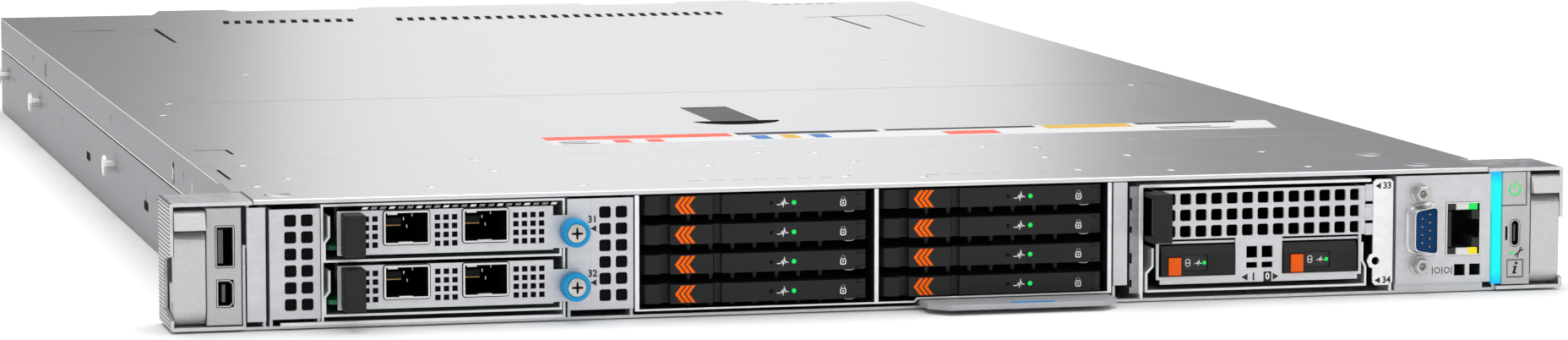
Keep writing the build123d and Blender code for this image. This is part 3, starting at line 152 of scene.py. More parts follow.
class Shader:
    """One material, built node by node round a Principled surface."""

    def __init__(self, name: str) -> None:
        """Start a material of that name."""
        self.material = bpy.data.materials.new(name)
        self.material.use_nodes = True
        self.tree = self.material.node_tree
        self.tree.nodes.clear()
        self.surface = self.add("ShaderNodeBsdfPrincipled")
        self.add("ShaderNodeOutputMaterial", {}, {"Surface": self.surface.outputs[0]})
        self.place = self.add("ShaderNodeTexCoord").outputs["Object"]

    def add(self, kind: str, settings: dict | None = None, inputs: dict | None = None) -> bpy.types.Node:
        """Add a node, set it, then feed its sockets.

        Args:
            kind: the node's type.
            settings: the node's own properties, set first.
            inputs: numbers, colours, sockets or signals by socket name or index.

        Returns:
            The node.
        """
        node = self.tree.nodes.new(kind)
        for key, value in (settings or {}).items():
            setattr(node, key, value)
        for key, value in (inputs or {}).items():
            self.feed(node.inputs[key], value)
        return node

    def feed(self, socket: bpy.types.NodeSocket, value: object) -> None:
        """Link a signal or socket to a socket, or set the socket's own value."""
        if isinstance(value, Signal):
            value = value.socket
        if isinstance(value, bpy.types.NodeSocket):
            self.tree.links.new(value, socket)
        elif isinstance(value, tuple) and len(value) == 3 and socket.type == "RGBA":
            socket.default_value = (*value, 1.0)
        else:
            socket.default_value = value

    def set(self, **values: object) -> None:
        """Feed the surface's sockets, named with underscores for spaces."""
        for key, value in values.items():
            self.feed(self.surface.inputs[key.replace("_", " ").title().replace("Ior", "IOR")], value)

    def axes(self) -> tuple[Signal, Signal, Signal]:
        """The object's X, Y and Z, in metres."""
        node = self.add("ShaderNodeSeparateXYZ", {}, {0: self.place})
        return tuple(Signal(self, out) for out in node.outputs)

    def scaled(self, x: float, y: float, z: float) -> bpy.types.NodeSocket:
        """The object's coordinates, stretched on each axis."""
        return self.add("ShaderNodeMapping", {}, {"Vector": self.place, "Scale": (x, y, z)}).outputs[0]

    def noise(self, scale: float, detail: float = 3.0, place: object = None) -> Signal:
        """Soft noise from about nought to one, with features of 1/scale metres."""
        inputs = {"Vector": place or self.place, "Scale": scale, "Detail": detail}
        return Signal(self, self.add("ShaderNodeTexNoise", {}, inputs).outputs[0])

    def cells(self, scale: float) -> Signal:
        """A random value for each cell of a broken pattern."""
        node = self.add("ShaderNodeTexVoronoi", {}, {"Vector": self.place, "Scale": scale})
        grey = self.add("ShaderNodeSeparateColor", {}, {0: node.outputs["Color"]})
        return Signal(self, grey.outputs[0])

    def mix(self, low: object, high: object, share: "Signal | float") -> bpy.types.NodeSocket:
        """A colour between two colours."""
        node = self.add("ShaderNodeMix", {"data_type": "RGBA"}, {0: share, 6: low, 7: high})
        return node.outputs[2]

    def bump(self, height: Signal, distance: float, edge: float = 0.0) -> None:
        """Give the surface relief, on edges that are rounded by a radius in metres."""
        inputs = {"Height": height, "Distance": distance, "Strength": 1.0}
        if edge:
            rounded = self.add("ShaderNodeBevel", {"samples": 4}, {"Radius": edge})
            inputs["Normal"] = rounded.outputs[0]
        self.set(normal=self.add("ShaderNodeBump", {}, inputs).outputs[0])


# Finishes


@dataclass(frozen=True)
class ZincSheet:
    """Galvanised sheet steel: pale, softly mottled, with a fine grain and rounded shear edges."""

    name: str
    light: Colour = (0.72, 0.725, 0.74)
    dark: Colour = (0.60, 0.605, 0.62)
    rough: float = 0.36
    metal: float = 0.9
    mottle: float = 0.16
    relief: float = 0.000012
    ribs: bool = False

    def material(self) -> bpy.types.Material:
        """The finish as a material."""
        s = Shader(self.name)
        spangle = s.cells(420.0) * 0.4 + s.noise(60.0, 4.0) * 0.6
        streak = s.noise(26.0, 3.0, s.scaled(1.0, 22.0, 22.0))
        share = (spangle * 0.6 + streak * 0.4).stretched(0.25, 0.75)
        tone = s.mix(self.dark, self.light, share)
        s.set(metallic=self.metal, roughness=(spangle - 0.5) * self.mottle + self.rough)
        relief = s.noise(2600.0, 2.0) * 0.6 + streak * 0.4
        if self.ribs:
            x, _, z = s.axes()
            wall = abs(x).above(0.2409)
            ribs = z.wave(0.0013)
            relief = wall * (ribs * 14.0) + relief
            # Painted shade in the grooves between the ribs: where the rib wave is low, the colour goes most of the way
            # to a fifth of the dark tone.
            tone = s.mix(tone, tuple(0.2 * c for c in self.dark), wall * ribs.below(0.42) * 0.9)
        s.set(base_color=tone)
        s.bump(relief, self.relief, 0.00022)
        return s.material


@dataclass(frozen=True)
class SandPaint:
    """Silver textured paint with metallic flakes over a cast part."""

    name: str
    colour: Colour = (0.62, 0.62, 0.63)
    grain: float = 0.00007
    rough: float = 0.42

    def material(self) -> bpy.types.Material:
        """The finish as a material."""
        s = Shader(self.name)
        flakes = s.cells(2400.0)
        sand = s.noise(1300.0, 3.0)
        dark = tuple(0.8 * c for c in self.colour)
        s.set(base_color=s.mix(dark, self.colour, flakes * 0.6 + sand * 0.4), metallic=0.55)
        s.set(roughness=(flakes - 0.5) * 0.25 + self.rough)
        s.bump(sand, self.grain, 0.0003)
        return s.material


@dataclass(frozen=True)
class Moulding:
    """Moulded plastic with a fine texture and softened edges."""

    name: str
    colour: Colour = (0.018, 0.018, 0.019)
    rough: float = 0.38
    grain: float = 0.00002
    edge: float = 0.0003
    coat: float = 0.0
    metal: float = 0.0
    gloss: float = 0.5

    def material(self) -> bpy.types.Material:
        """The finish as a material."""
        s = Shader(self.name)
        s.set(specular_ior_level=self.gloss)
        grain = s.noise(1800.0, 3.0)
        broad = s.noise(45.0, 2.0)
        worn = tuple(min(1.0, 1.25 * c + 0.004) for c in self.colour)
        s.set(base_color=s.mix(self.colour, worn, (grain * 0.5 + broad * 0.5).stretched(0.3, 0.8)))
        s.set(roughness=(broad - 0.5) * 0.12 + grain * 0.08 + self.rough, metallic=self.metal)
        s.set(coat_weight=self.coat)
        s.bump(grain, self.grain, self.edge)
        return s.material


@dataclass(frozen=True)
class BareMetal:
    """Machined or plated metal with fine turned or drawn lines."""

    name: str
    colour: Colour = (0.72, 0.72, 0.72)
    rough: float = 0.28
    lines: tuple[float, float, float] = (1.0, 30.0, 30.0)

    def material(self) -> bpy.types.Material:
        """The finish as a material."""
        s = Shader(self.name)
        drawn = s.noise(90.0, 4.0, s.scaled(*self.lines))
        spots = s.noise(350.0, 2.0)
        dark = tuple(0.72 * c for c in self.colour)
        s.set(base_color=s.mix(dark, self.colour, drawn * 0.5 + spots * 0.5), metallic=1.0)
        s.set(roughness=(drawn - 0.5) * 0.2 + self.rough)
        s.bump(drawn, 0.000008, 0.0002)
        return s.material


@dataclass(frozen=True)
class Print:
    """Printed ink or a laminated label: even colour with slight mottling."""

    name: str
    colour: Colour
    rough: float = 0.5
    gloss: float = 0.25

    def material(self) -> bpy.types.Material:
        """The finish as a material."""
        s = Shader(self.name)
        s.set(specular_ior_level=self.gloss)
        mottle = s.noise(700.0, 3.0)
        deep = tuple(0.86 * c for c in self.colour)
        s.set(base_color=s.mix(deep, self.colour, mottle), roughness=mottle * 0.12 + self.rough)
        s.bump(mottle, 0.000004)
        return s.material


@dataclass(frozen=True)
class Glow:
    """A lit lens: coloured plastic that glows, with a slightly brighter middle."""

    name: str
    colour: Colour
    power: float = 1.0
    ends: Colour | None = None

    def material(self) -> bpy.types.Material:
        """The finish as a material."""
        s = Shader(self.name)
        light = s.mix(tuple(0.85 * c for c in self.colour), self.colour, s.noise(900.0, 1.0))
        if self.ends:
            middle = abs(s.axes()[2] - 0.0217)
            light = s.mix(light, self.ends, middle.stretched(0.0145, 0.021))
        s.set(base_color=(0.01, 0.02, 0.02), emission_color=light, emission_strength=self.power)
        s.set(roughness=0.4, specular_ior_level=0.2)
        return s.material


@dataclass(frozen=True)
class BoardFilm:
    """Circuit board: green mask over fine copper tracks and pads."""

    name: str
    colour: Colour = (0.005, 0.075, 0.03)

    def material(self) -> bpy.types.Material:
        """The finish as a material."""
        s = Shader(self.name)
        x, y, _ = s.axes()
        bend = s.noise(90.0, 1.0) * 0.004
        tracks = (x + bend).wave(0.0016).above(0.72) * s.cells(70.0).above(0.45)
        cross = (y + bend).wave(0.0021).above(0.76) * s.cells(55.0).below(0.4)
        copper = tuple(2.3 * c + 0.01 for c in self.colour)
        share = (tracks + cross).stretched(0.0, 1.0)
        s.set(base_color=s.mix(self.colour, copper, share), roughness=0.3 + 0.15 * s.noise(300.0))
        s.set(specular_ior_level=0.25)
        s.bump(share, 0.00003)
        return s.material


@dataclass(frozen=True)
class FloorFinish:
    """The studio floor: even, pale, with a trace of unevenness."""

    name: str = "studio_floor"
    colour: Colour = (0.93, 0.93, 0.93)

    def material(self) -> bpy.types.Material:
        """The finish as a material."""
        s = Shader(self.name)
        s.set(base_color=s.mix(self.colour, (0.96, 0.96, 0.96), s.noise(2.0)), roughness=0.7)
        return s.material


class Palette:
    """Every finish of the server, each made once."""

    def __init__(self) -> None:
        """Make the materials."""

        def make(finish: object) -> bpy.types.Material:
            """The finish's material."""
            return finish.material()

        self.zinc = make(ZincSheet("zinc_sheet_steel"))
        # A copy of the zinc at about half its tone: painted shade on the side walls, the top's pressed seam, the boot
        # bay flange and the mesh behind the rear wall.
        self.wall = make(ZincSheet("zinc_painted_shade", (0.34, 0.345, 0.36), (0.27, 0.275, 0.29), 0.46, 0.7))
        self.face = make(ZincSheet("zinc_front_faces", (0.64, 0.645, 0.665), (0.57, 0.575, 0.595), 0.45, 0.6))
        self.ear = make(ZincSheet("zinc_ribbed_ears_groove_shade", ribs=True))
        # A paler copy of the zinc: painted highlight on folds and edges, and painted light on the bay frames, the drive
        # cage's front, the floor's front lip and the boot bay flange's edge.
        self.bright = make(ZincSheet("zinc_painted_highlight", (0.88, 0.885, 0.895), (0.8, 0.805, 0.82), 0.42, 0.6))
        top = ZincSheet("zinc_top_sheet", (0.69, 0.695, 0.71), (0.66, 0.665, 0.68), 0.34, 0.93, 0.04, 0.000003)
        self.top = make(top)
        self.silver = make(SandPaint("silver_sand_paint"))
        # A darker copy of the silver paint: painted shade under each latch's lip.
        self.shade = make(SandPaint("silver_painted_scoop_shade", (0.36, 0.36, 0.365)))
        self.grey = make(Moulding("light_grey_moulding", (0.42, 0.42, 0.42), 0.45, 0.000012, 0.0003))
        # Black plastic of the fans, shroud, latches and sockets; also painted shade inside the drive cage.
        self.black = make(Moulding("black_moulding_and_cage_shade", gloss=0.25))
        self.satin = make(Moulding("satin_drive_black", (0.010, 0.010, 0.011), 0.36, 0.00001, 0.00035, gloss=0.22))
        self.rubber = make(Moulding("black_pull_tab", (0.014, 0.014, 0.015), 0.55, 0.00003, 0.0005, gloss=0.2))
        # Dark grey plastic made lighter than its own tone: painted light on tongues that sit in the sockets' shade.
        self.tongue = make(Moulding("socket_tongue_painted_light", (0.085, 0.085, 0.088), 0.45, 0.00001, 0.0001, gloss=0.3))
        # Near-black: painted shade in holes, slots, recesses and behind openings, and the dark dots on the drive
        # handles.
        self.hollow_shade_black = make(Moulding("black_and_painted_hollow_shade", (0.003, 0.003, 0.004), 0.7, 0.00001, 0.0, gloss=0.05))
        self.blue = make(Moulding("blue_knob", (0.0, 0.25, 0.52), 0.4, 0.00001, 0.0002, gloss=0.25))
        self.insert = make(Moulding("blue_serial_insert", (0.001, 0.032, 0.11), 0.45, 0.00001, 0.0002, gloss=0.1))
        self.orange = make(Moulding("orange_release", (0.72, 0.09, 0.0), 0.45, 0.00001, 0.0003, gloss=0.2))
        self.tag = make(Moulding("grey_tag", (0.35, 0.355, 0.37), 0.45, 0.00001, 0.0003, gloss=0.3))
        self.white = make(Moulding("white_socket_frame", (0.62, 0.62, 0.6), 0.4, 0.00001, 0.0002))
        # Dark metal of the drive cases; also painted shade on the sockets' inner walls and on most of the hood's gasket
        # fingers.
        self.case = make(BareMetal("drive_case_metal_and_painted_shade", (0.30, 0.31, 0.33), 0.4))
        self.supply = make(BareMetal("supply_case_metal", (0.62, 0.63, 0.64), 0.36))
        self.steel = make(BareMetal("plated_steel", (0.80, 0.80, 0.80), 0.24))
        self.screw = make(BareMetal("screw_steel", (0.62, 0.61, 0.6), 0.3, (12.0, 12.0, 12.0)))
        self.aluminium = make(BareMetal("fin_aluminium", (0.76, 0.77, 0.78), 0.32))
        self.gold = make(BareMetal("contact_gold", (0.85, 0.52, 0.2), 0.3))
        self.board = make(BoardFilm("board_green_mask"))
        self.ink = make(Print("dark_print", (0.02, 0.02, 0.022)))
        self.pale = make(Print("pale_print", (0.86, 0.86, 0.86)))
        self.coral = make(Print("coral_label", (0.86, 0.14, 0.09)))
        self.amber = make(Print("amber_label", (0.72, 0.44, 0.06)))
        self.sky = make(Print("blue_label", (0.05, 0.2, 0.5)))
        self.charcoal = make(Print("charcoal_label", (0.035, 0.035, 0.04)))
        self.paper = make(Print("grey_white_label", (0.72, 0.73, 0.74)))
        self.chevron = make(Print("orange_print", (1.0, 0.14, 0.0), 0.5, 0.1))
        self.stripe = make(Print("blue_stripe", (0.01, 0.30, 0.75), 0.5))
        self.green = make(Glow("green_lamp", (0.0, 0.9, 0.1), 1.0))
        self.yellow = make(Glow("yellow_lamp", (1.0, 0.82, 0.0), 1.0))
        self.cyan = make(Glow("cyan_light_bar", (0.0, 0.98, 1.0), 1.0, (0.0, 0.42, 0.95)))


# Outlines and meshes


def rounded(middle: Span, size: Span, corner: float, steps: int = 4) -> np.ndarray:
    """A rectangle with round corners: each corner's centre plus the corner radius at evenly spread angles.

    Args:
        middle: the centre.
        size: width and height.
        corner: the corners' radius.
        steps: straight steps in each corner.

    Returns:
        Array (4 * (steps + 1), 2), anticlockwise.
    """
    turn = np.linspace(0, pi / 2, steps + 1)
    angle = (turn[None, :] + np.arange(4)[:, None] * pi / 2).ravel()
    sign = np.repeat([[1, 1], [-1, 1], [-1, -1], [1, -1]], steps + 1, axis=0)
    base = np.array(middle) + sign * (np.array(size) / 2 - corner)
    return base + corner * np.stack([np.cos(angle), np.sin(angle)], 1)


def disc(middle: Span, radius: float, steps: int = 24) -> np.ndarray:
    """A circle: the centre plus the radius at evenly spread angles."""
    angle = np.arange(steps) * 2 * pi / steps
    return np.array(middle) + radius * np.stack([np.cos(angle), np.sin(angle)], 1)


def oblong(u: Span, v: Span) -> np.ndarray:
    """A plain rectangle from its limits, anticlockwise."""
    return np.array([(u[0], v[0]), (u[1], v[0]), (u[1], v[1]), (u[0], v[1])], float)


def grown(outline: np.ndarray, amount: float) -> np.ndarray:
    """An outline moved outwards: each corner goes along the mean of its two edges' normals, over their cosine."""
    edge = np.roll(outline, -1, 0) - outline
    edge = edge / np.linalg.norm(edge, axis=1, keepdims=True)
    normal = np.stack([edge[:, 1], -edge[:, 0]], 1)
    before = np.roll(normal, 1, 0)
    reach = (normal + before) / (1 + (normal * before).sum(1, keepdims=True)).clip(0.3)
    return outline + amount * reach


def arc(middle: Span, radius: float, start: float, end: float, steps: int = 12) -> np.ndarray:
    """Points of an arc: the centre plus the radius at angles spread from start to end, in degrees."""
    angle = np.radians(np.linspace(start, end, steps + 1))
    return np.array(middle) + radius * np.stack([np.cos(angle), np.sin(angle)], 1)


class Skin:
    """Gathers surfaces in millimetres and turns them into one Blender object."""

    def __init__(self, name: str, *finishes: bpy.types.Material) -> None:
        """Start an object of that name with its finishes in order."""
        self.name = name
        self.finishes = finishes
        self.points: list[np.ndarray] = []
        self.faces: list[list[int]] = []
        self.kinds: list[int] = []
        self.count = 0

    def take(self, points: np.ndarray, faces: list, finish: int) -> None:
        """Add points and the faces between them."""
        self.points.append(points.reshape(-1, 3))
        self.faces += [[i + self.count for i in face] for face in faces]
        self.kinds += [finish] * len(faces)
        self.count += len(points.reshape(-1, 3))

    def grid(self, points: np.ndarray, finish: int = 0, ends: tuple[bool, bool] = (True, True)) -> "Skin":
        """A surface of two parameters, closed round its second one.

        Args:
            points: array (rows, columns, 3); each row is one closed ring.
            finish: which finish it takes.
            ends: whether the first and last rings are capped.

        Returns:
            This skin.
        """
        rows, columns = points.shape[:2]
        index = np.arange(rows * columns).reshape(rows, columns)
        after = np.roll(index, -1, 1)
        quads = np.stack([index[:-1], after[:-1], after[1:], index[1:]], -1).reshape(-1, 4)
        caps = [list(index[row]) for row, wanted in ((0, ends[0]), (-1, ends[1])) if wanted]
        self.take(points, quads.tolist() + caps, finish)
        return self

    def prism(
        self,
        outline: np.ndarray,
        span: Span,
        facing: Facing = Facing.FRONT,
        finish: int = 0,
        bevel: float = 0.0,
    ) -> "Skin":
        """An outline carried straight along the third axis, drawn in by the bevel at both ends."""
        low, high = sorted(span)
        if bevel:
            steps = [(low, -bevel), (low + bevel, 0.0), (high - bevel, 0.0), (high, -bevel)]
        else:
            steps = [(low, 0.0), (high, 0.0)]
        rings = [facing.place(grown(outline, amount) if amount else outline, at) for at, amount in steps]
        return self.grid(np.stack(rings), finish)

    def carried(
        self,
        path: Sequence,
        width: float,
        span: Span,
        facing: Facing = Facing.FRONT,
        finish: int = 0,
        closed: bool = False,
    ) -> "Skin":
        """A flat bar's section carried along a path: each point goes half the width to both sides, mitred."""
        line = np.array(path, float)
        ahead = np.roll(line, -1, 0) - line
        if not closed:
            ahead[-1] = ahead[-2]
        ahead = ahead / np.linalg.norm(ahead, axis=1, keepdims=True)
        behind = np.roll(ahead, 1, 0)
        if not closed:
            behind[0] = ahead[0]
        n0 = np.stack([-behind[:, 1], behind[:, 0]], 1)
        n1 = np.stack([-ahead[:, 1], ahead[:, 0]], 1)
        side = (n0 + n1) / (1 + (n0 * n1).sum(1, keepdims=True)).clip(0.4) * width / 2
        edges = (line + side, line - side)
        rings = np.stack(
            [
                facing.place(edges[0], span[0]),
                facing.place(edges[1], span[0]),
                facing.place(edges[1], span[1]),
                facing.place(edges[0], span[1]),
            ],
            1,
        )
        if closed:
            return self.grid(np.concatenate([rings, rings[:1]]), finish, (False, False))
        return self.grid(rings, finish)

    def strokes(self, points: Sequence, width: float, span: Span, finish: int = 0) -> "Skin":
        """Straight bars from point to point on the front, with a round end of the bars' width at each point."""
        for start, end in zip(points, points[1:]):
            self.carried([start, end], width, span, finish=finish)
        for point in points:
            self.prism(disc(point, width / 2, 8), span, finish=finish)
        return self

    def turned(
        self,
        profile: Sequence,
        middle: Span,
        facing: Facing = Facing.FRONT,
        finish: int = 0,
        steps: int = 32,
        ripple: Callable[[np.ndarray, np.ndarray], np.ndarray] | None = None,
    ) -> "Skin":
        """A profile of radius and depth turned about an axis: radius times cosine and sine, plus a ripple."""
        shape = np.array(profile, float)
        angle = np.arange(steps) * 2 * pi / steps
        radius = np.repeat(shape[:, :1], steps, 1)
        if ripple:
            radius = radius + ripple(radius, angle[None, :])
        flat = np.stack([radius * np.cos(angle), radius * np.sin(angle)], -1) + np.array(middle)
        return self.grid(facing.place(flat, shape[:, 1:2]), finish)

    def perforated(
        self,
        u_cuts: Sequence[float],
        v_cuts: Sequence[float],
        holes: dict[tuple[int, int], np.ndarray],
        span: Span,
        facing: Facing = Facing.FRONT,
        finish: int = 0,
    ) -> "Skin":
        """A sheet cut into cells, some with a hole: each hole's ring is joined to its cell's edge straight outwards.

        Args:
            u_cuts: the cells' limits across.
            v_cuts: the cells' limits upwards.
            holes: for a cell's column and row, its hole's outline from rounded().
            span: front and back of the sheet.
            facing: the sheet's plane.
            finish: which finish it takes.

        Returns:
            This skin.
        """
        for i, (u0, u1) in enumerate(zip(u_cuts, u_cuts[1:])):
            for j, (v0, v1) in enumerate(zip(v_cuts, v_cuts[1:])):
                hole = holes.get((i, j))
                if hole is None:
                    for at in span:
                        self.take(facing.place(oblong((u0, u1), (v0, v1)), at), [[0, 1, 2, 3]], finish)
                    continue
                steps = len(hole) // 4
                turn = np.linspace(0, pi / 2, steps)
                angle = (turn[None, :] + np.arange(4)[:, None] * pi / 2).ravel()
                away = np.round(np.stack([np.cos(angle), np.sin(angle)], 1), 9)
                rim = np.clip(hole + away * 999.0, (u0, v0), (u1, v1))
                stack = [(rim, span[0]), (hole, span[0]), (hole, span[1]), (rim, span[1])]
                self.grid(np.stack([facing.place(p, at) for p, at in stack]), finish, (False, False))
        whole = oblong((u_cuts[0], u_cuts[-1]), (v_cuts[0], v_cuts[-1]))
        return self.grid(np.stack([facing.place(whole, at) for at in span]), finish, (False, False))

    def lettered(
        self,
        text: str,
        place: Vector,
        size: float,
        facing: Facing = Facing.FRONT,
        finish: int = 0,
    ) -> "Skin":
        """Plain numerals from the built-in font as thin raised ink.

        Args:
            text: the numerals.
            place: middle of the text, on the surface.
            size: height of the letters' body in millimetres.
            facing: the surface's plane; the print stands 0.03 proud of it.
            finish: which finish it takes.

        Returns:
            This skin.
        """
        curve = bpy.data.curves.new(self.name, "FONT")
        curve.body, curve.size, curve.extrude, curve.offset = text, size, 0.03, 0.03 * size
        curve.align_x, curve.align_y = "CENTER", "CENTER"
        curve.resolution_u = 3
        letters = bpy.data.objects.new(self.name, curve)
        bpy.context.scene.collection.objects.link(letters)
        bpy.context.view_layer.update()
        mesh = bpy.data.meshes.new_from_object(letters)
        co = np.empty(len(mesh.vertices) * 3)
        mesh.vertices.foreach_get("co", co)
        co = co.reshape(-1, 3)
        depth = place[facing.value[2]] - co[:, 2] * (1 if facing is Facing.FRONT else -1)
        flat = co[:, :2] + np.array([place[facing.value[0]], place[facing.value[1]]])
        self.take(facing.place(flat, depth), [list(p.vertices) for p in mesh.polygons], finish)
        bpy.data.objects.remove(letters)
        bpy.data.curves.remove(curve)
        bpy.data.meshes.remove(mesh)
        return self

    def build(
        self, body: str = "chassis", slot: str = "", replaces: Sequence[str] = (), smooth: float = 32.0
    ) -> bpy.types.Object:
        """Make the object, with doubles merged and faces turned outwards, and let it ride.

        Args:
            body: the CAD body it moves with.
            slot: not used.
            replaces: CAD nodes that it stands for.
            smooth: edges flatter than this angle are shaded smooth.

        Returns:
            The object.
        """
        mesh = bpy.data.meshes.new(self.name)
        mesh.from_pydata((np.concatenate(self.points) * MM).tolist(), [], self.faces)
        for finish in self.finishes:
            mesh.materials.append(finish)
        mesh.polygons.foreach_set("material_index", self.kinds)
        work = bmesh.new()
        work.from_mesh(mesh)
        bmesh.ops.remove_doubles(work, verts=work.verts, dist=2e-6)
        bmesh.ops.recalc_face_normals(work, faces=work.faces)
        work.to_mesh(mesh)
        work.free()
        mesh.polygons.foreach_set("use_smooth", [True] * len(mesh.polygons))
        mesh.set_sharp_from_angle(angle=radians(smooth))
        piece = bpy.data.objects.new(self.name, mesh)
        bpy.context.scene.collection.objects.link(piece)
        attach(piece, body)
        if replaces:
            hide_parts(*replaces)
        LOG.info("%s: %d faces on %s", self.name, len(mesh.polygons), body)
        return piece


def dress(node: str, *finishes: bpy.types.Material, choose: Callable | None = None) -> None:
    """Give a CAD node its finishes.

    Args:
        node: the node's name.
        finishes: its materials.
        choose: from the faces' centres (n, 3), in millimetres, to the index of each face's finish.
    """
    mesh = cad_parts[node].data
    mesh.materials.clear()
    for finish in finishes:
        mesh.materials.append(finish)
    if choose:
        centre = np.empty(len(mesh.polygons) * 3)
        mesh.polygons.foreach_get("center", centre)
        picked = choose(centre.reshape(-1, 3) / MM).astype(int)
        mesh.polygons.foreach_set("material_index", picked)
    LOG.info("%s dressed in %s", node, ", ".join(f.name for f in finishes))


def corner(node: str) -> tuple[np.ndarray, np.ndarray]:
    """A CAD node's lowest and highest corners, in millimetres."""
    low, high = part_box(node)
    return np.array(low) / MM, np.array(high) / MM


def inside(p: np.ndarray, x: Span | None = None, y: Span | None = None, z: Span | None = None) -> np.ndarray:
    """Which points lie within limits on each axis."""
    found = np.ones(len(p), bool)
    for axis, span in enumerate((x, y, z)):
        if span:
            found &= (p[:, axis] >= span[0]) & (p[:, axis] <= span[1])
    return found


# Sub-assemblies


@dataclass
class Studio:
    """Floor, lights, sky and the camera at the photograph's place."""

    eye: tuple[float, float, float] = (-0.4712, -1.8023, 0.2431)
    yaw: float = 13.79
    pitch: float = 6.09
    lens: float = 126.71
    floor_size: float = 14.0

    def camera(self) -> None:
        """Stand the camera where the photograph was taken from."""
        data = bpy.data.cameras.new("camera")
        data.lens, data.sensor_width, data.sensor_fit = self.lens, 36.0, "HORIZONTAL"
        data.clip_start, data.clip_end = 0.02, 60.0
        eye = bpy.data.objects.new("camera", data)
        eye.location = self.eye
        eye.rotation_euler = (radians(90 - self.pitch), 0, radians(-self.yaw))
        bpy.context.scene.collection.objects.link(eye)
        bpy.context.scene.camera = eye

    def softbox(self, name: str, at: tuple, size: tuple[float, float], power: float, aim: tuple) -> None:
        """One rectangular light.

        Args:
            name: its name.
            at: its place.
            size: its width and height.
            power: its power in watts.
            aim: the point it faces.
        """
        data = bpy.data.lights.new(name, "AREA")
        data.shape, data.size, data.size_y, data.energy = "RECTANGLE", *size, power
        lamp = bpy.data.objects.new(name, data)
        lamp.location = at
        lamp.rotation_euler = (Vector(aim) - Vector(at)).to_track_quat("-Z", "Y").to_euler()
        bpy.context.scene.collection.objects.link(lamp)

    def sky(self) -> None:
        """Light from all round: white low in front, dark low behind, pale grey above."""
        world = bpy.data.worlds.new("studio_sky")
        bpy.context.scene.world = world
        world.use_nodes = True
        tree = world.node_tree

        def new(kind: str) -> bpy.types.Node:
            """A node of the sky's tree."""
            return tree.nodes.new(kind)

        way, split = new("ShaderNodeTexCoord"), new("ShaderNodeSeparateXYZ")
        tree.links.new(way.outputs["Generated"], split.inputs[0])
        rise, back = new("ShaderNodeMapRange"), new("ShaderNodeMapRange")
        for node, socket, low, high in ((rise, 2, 0.38, 0.9), (back, 1, -0.35, 0.55)):
            node.interpolation_type = "SMOOTHSTEP"
            tree.links.new(split.outputs[socket], node.inputs[0])
            node.inputs[1].default_value, node.inputs[2].default_value = low, high
        low_sky, sky = new("ShaderNodeMix"), new("ShaderNodeMix")
        low_sky.data_type = sky.data_type = "RGBA"
        low_sky.inputs[6].default_value = (1.0, 1.0, 1.0, 1)
        low_sky.inputs[7].default_value = (0.05, 0.052, 0.06, 1)
        tree.links.new(back.outputs[0], low_sky.inputs[0])
        tree.links.new(low_sky.outputs[2], sky.inputs[6])
        sky.inputs[7].default_value = (0.80, 0.805, 0.81, 1)
        tree.links.new(rise.outputs[0], sky.inputs[0])
        tree.links.new(sky.outputs[2], tree.nodes["Background"].inputs[0])
        tree.nodes["Background"].inputs[1].default_value = 0.66

    def floor(self) -> None:
        """A wide flat floor just under the chassis."""
        side = 9
        half = self.floor_size / 2 / MM
        steps = np.linspace(-half, half, side)
        flat = np.stack(np.meshgrid(steps, steps, indexing="ij"), -1)
        points = Facing.TOP.place(flat, -0.4)
        mesh = bpy.data.meshes.new("floor")
        index = np.arange(side * side).reshape(side, side)
        quads = np.stack([index[:-1, :-1], index[1:, :-1], index[1:, 1:], index[:-1, 1:]], -1).reshape(-1, 4)
        mesh.from_pydata((points.reshape(-1, 3) * MM).tolist(), [], quads.tolist())
        mesh.materials.append(FloorFinish().material())
        ground = bpy.data.objects.new("floor", mesh)
        bpy.context.scene.collection.objects.link(ground)

    def build(self) -> None:
        """Set the whole studio up."""
        bpy.context.scene.view_settings.view_transform = "Standard"
        self.camera()
        self.sky()
        self.floor()
        self.softbox("key", (-0.2, -2.3, 2.9), (4.6, 1.8), 38.0, (0, 0.1, 0))
        self.softbox("over", (0.0, 0.9, 2.4), (2.4, 2.4), 58.0, (0, 0.3, 0))
        self.softbox("behind", (0.64, 3.2, 0.7), (0.76, 0.8), 2.75, (0, 0.3, 0))
        self.softbox("right", (2.6, -1.4, 1.2), (1.6, 1.6), 12.0, (0, 0.1, 0))


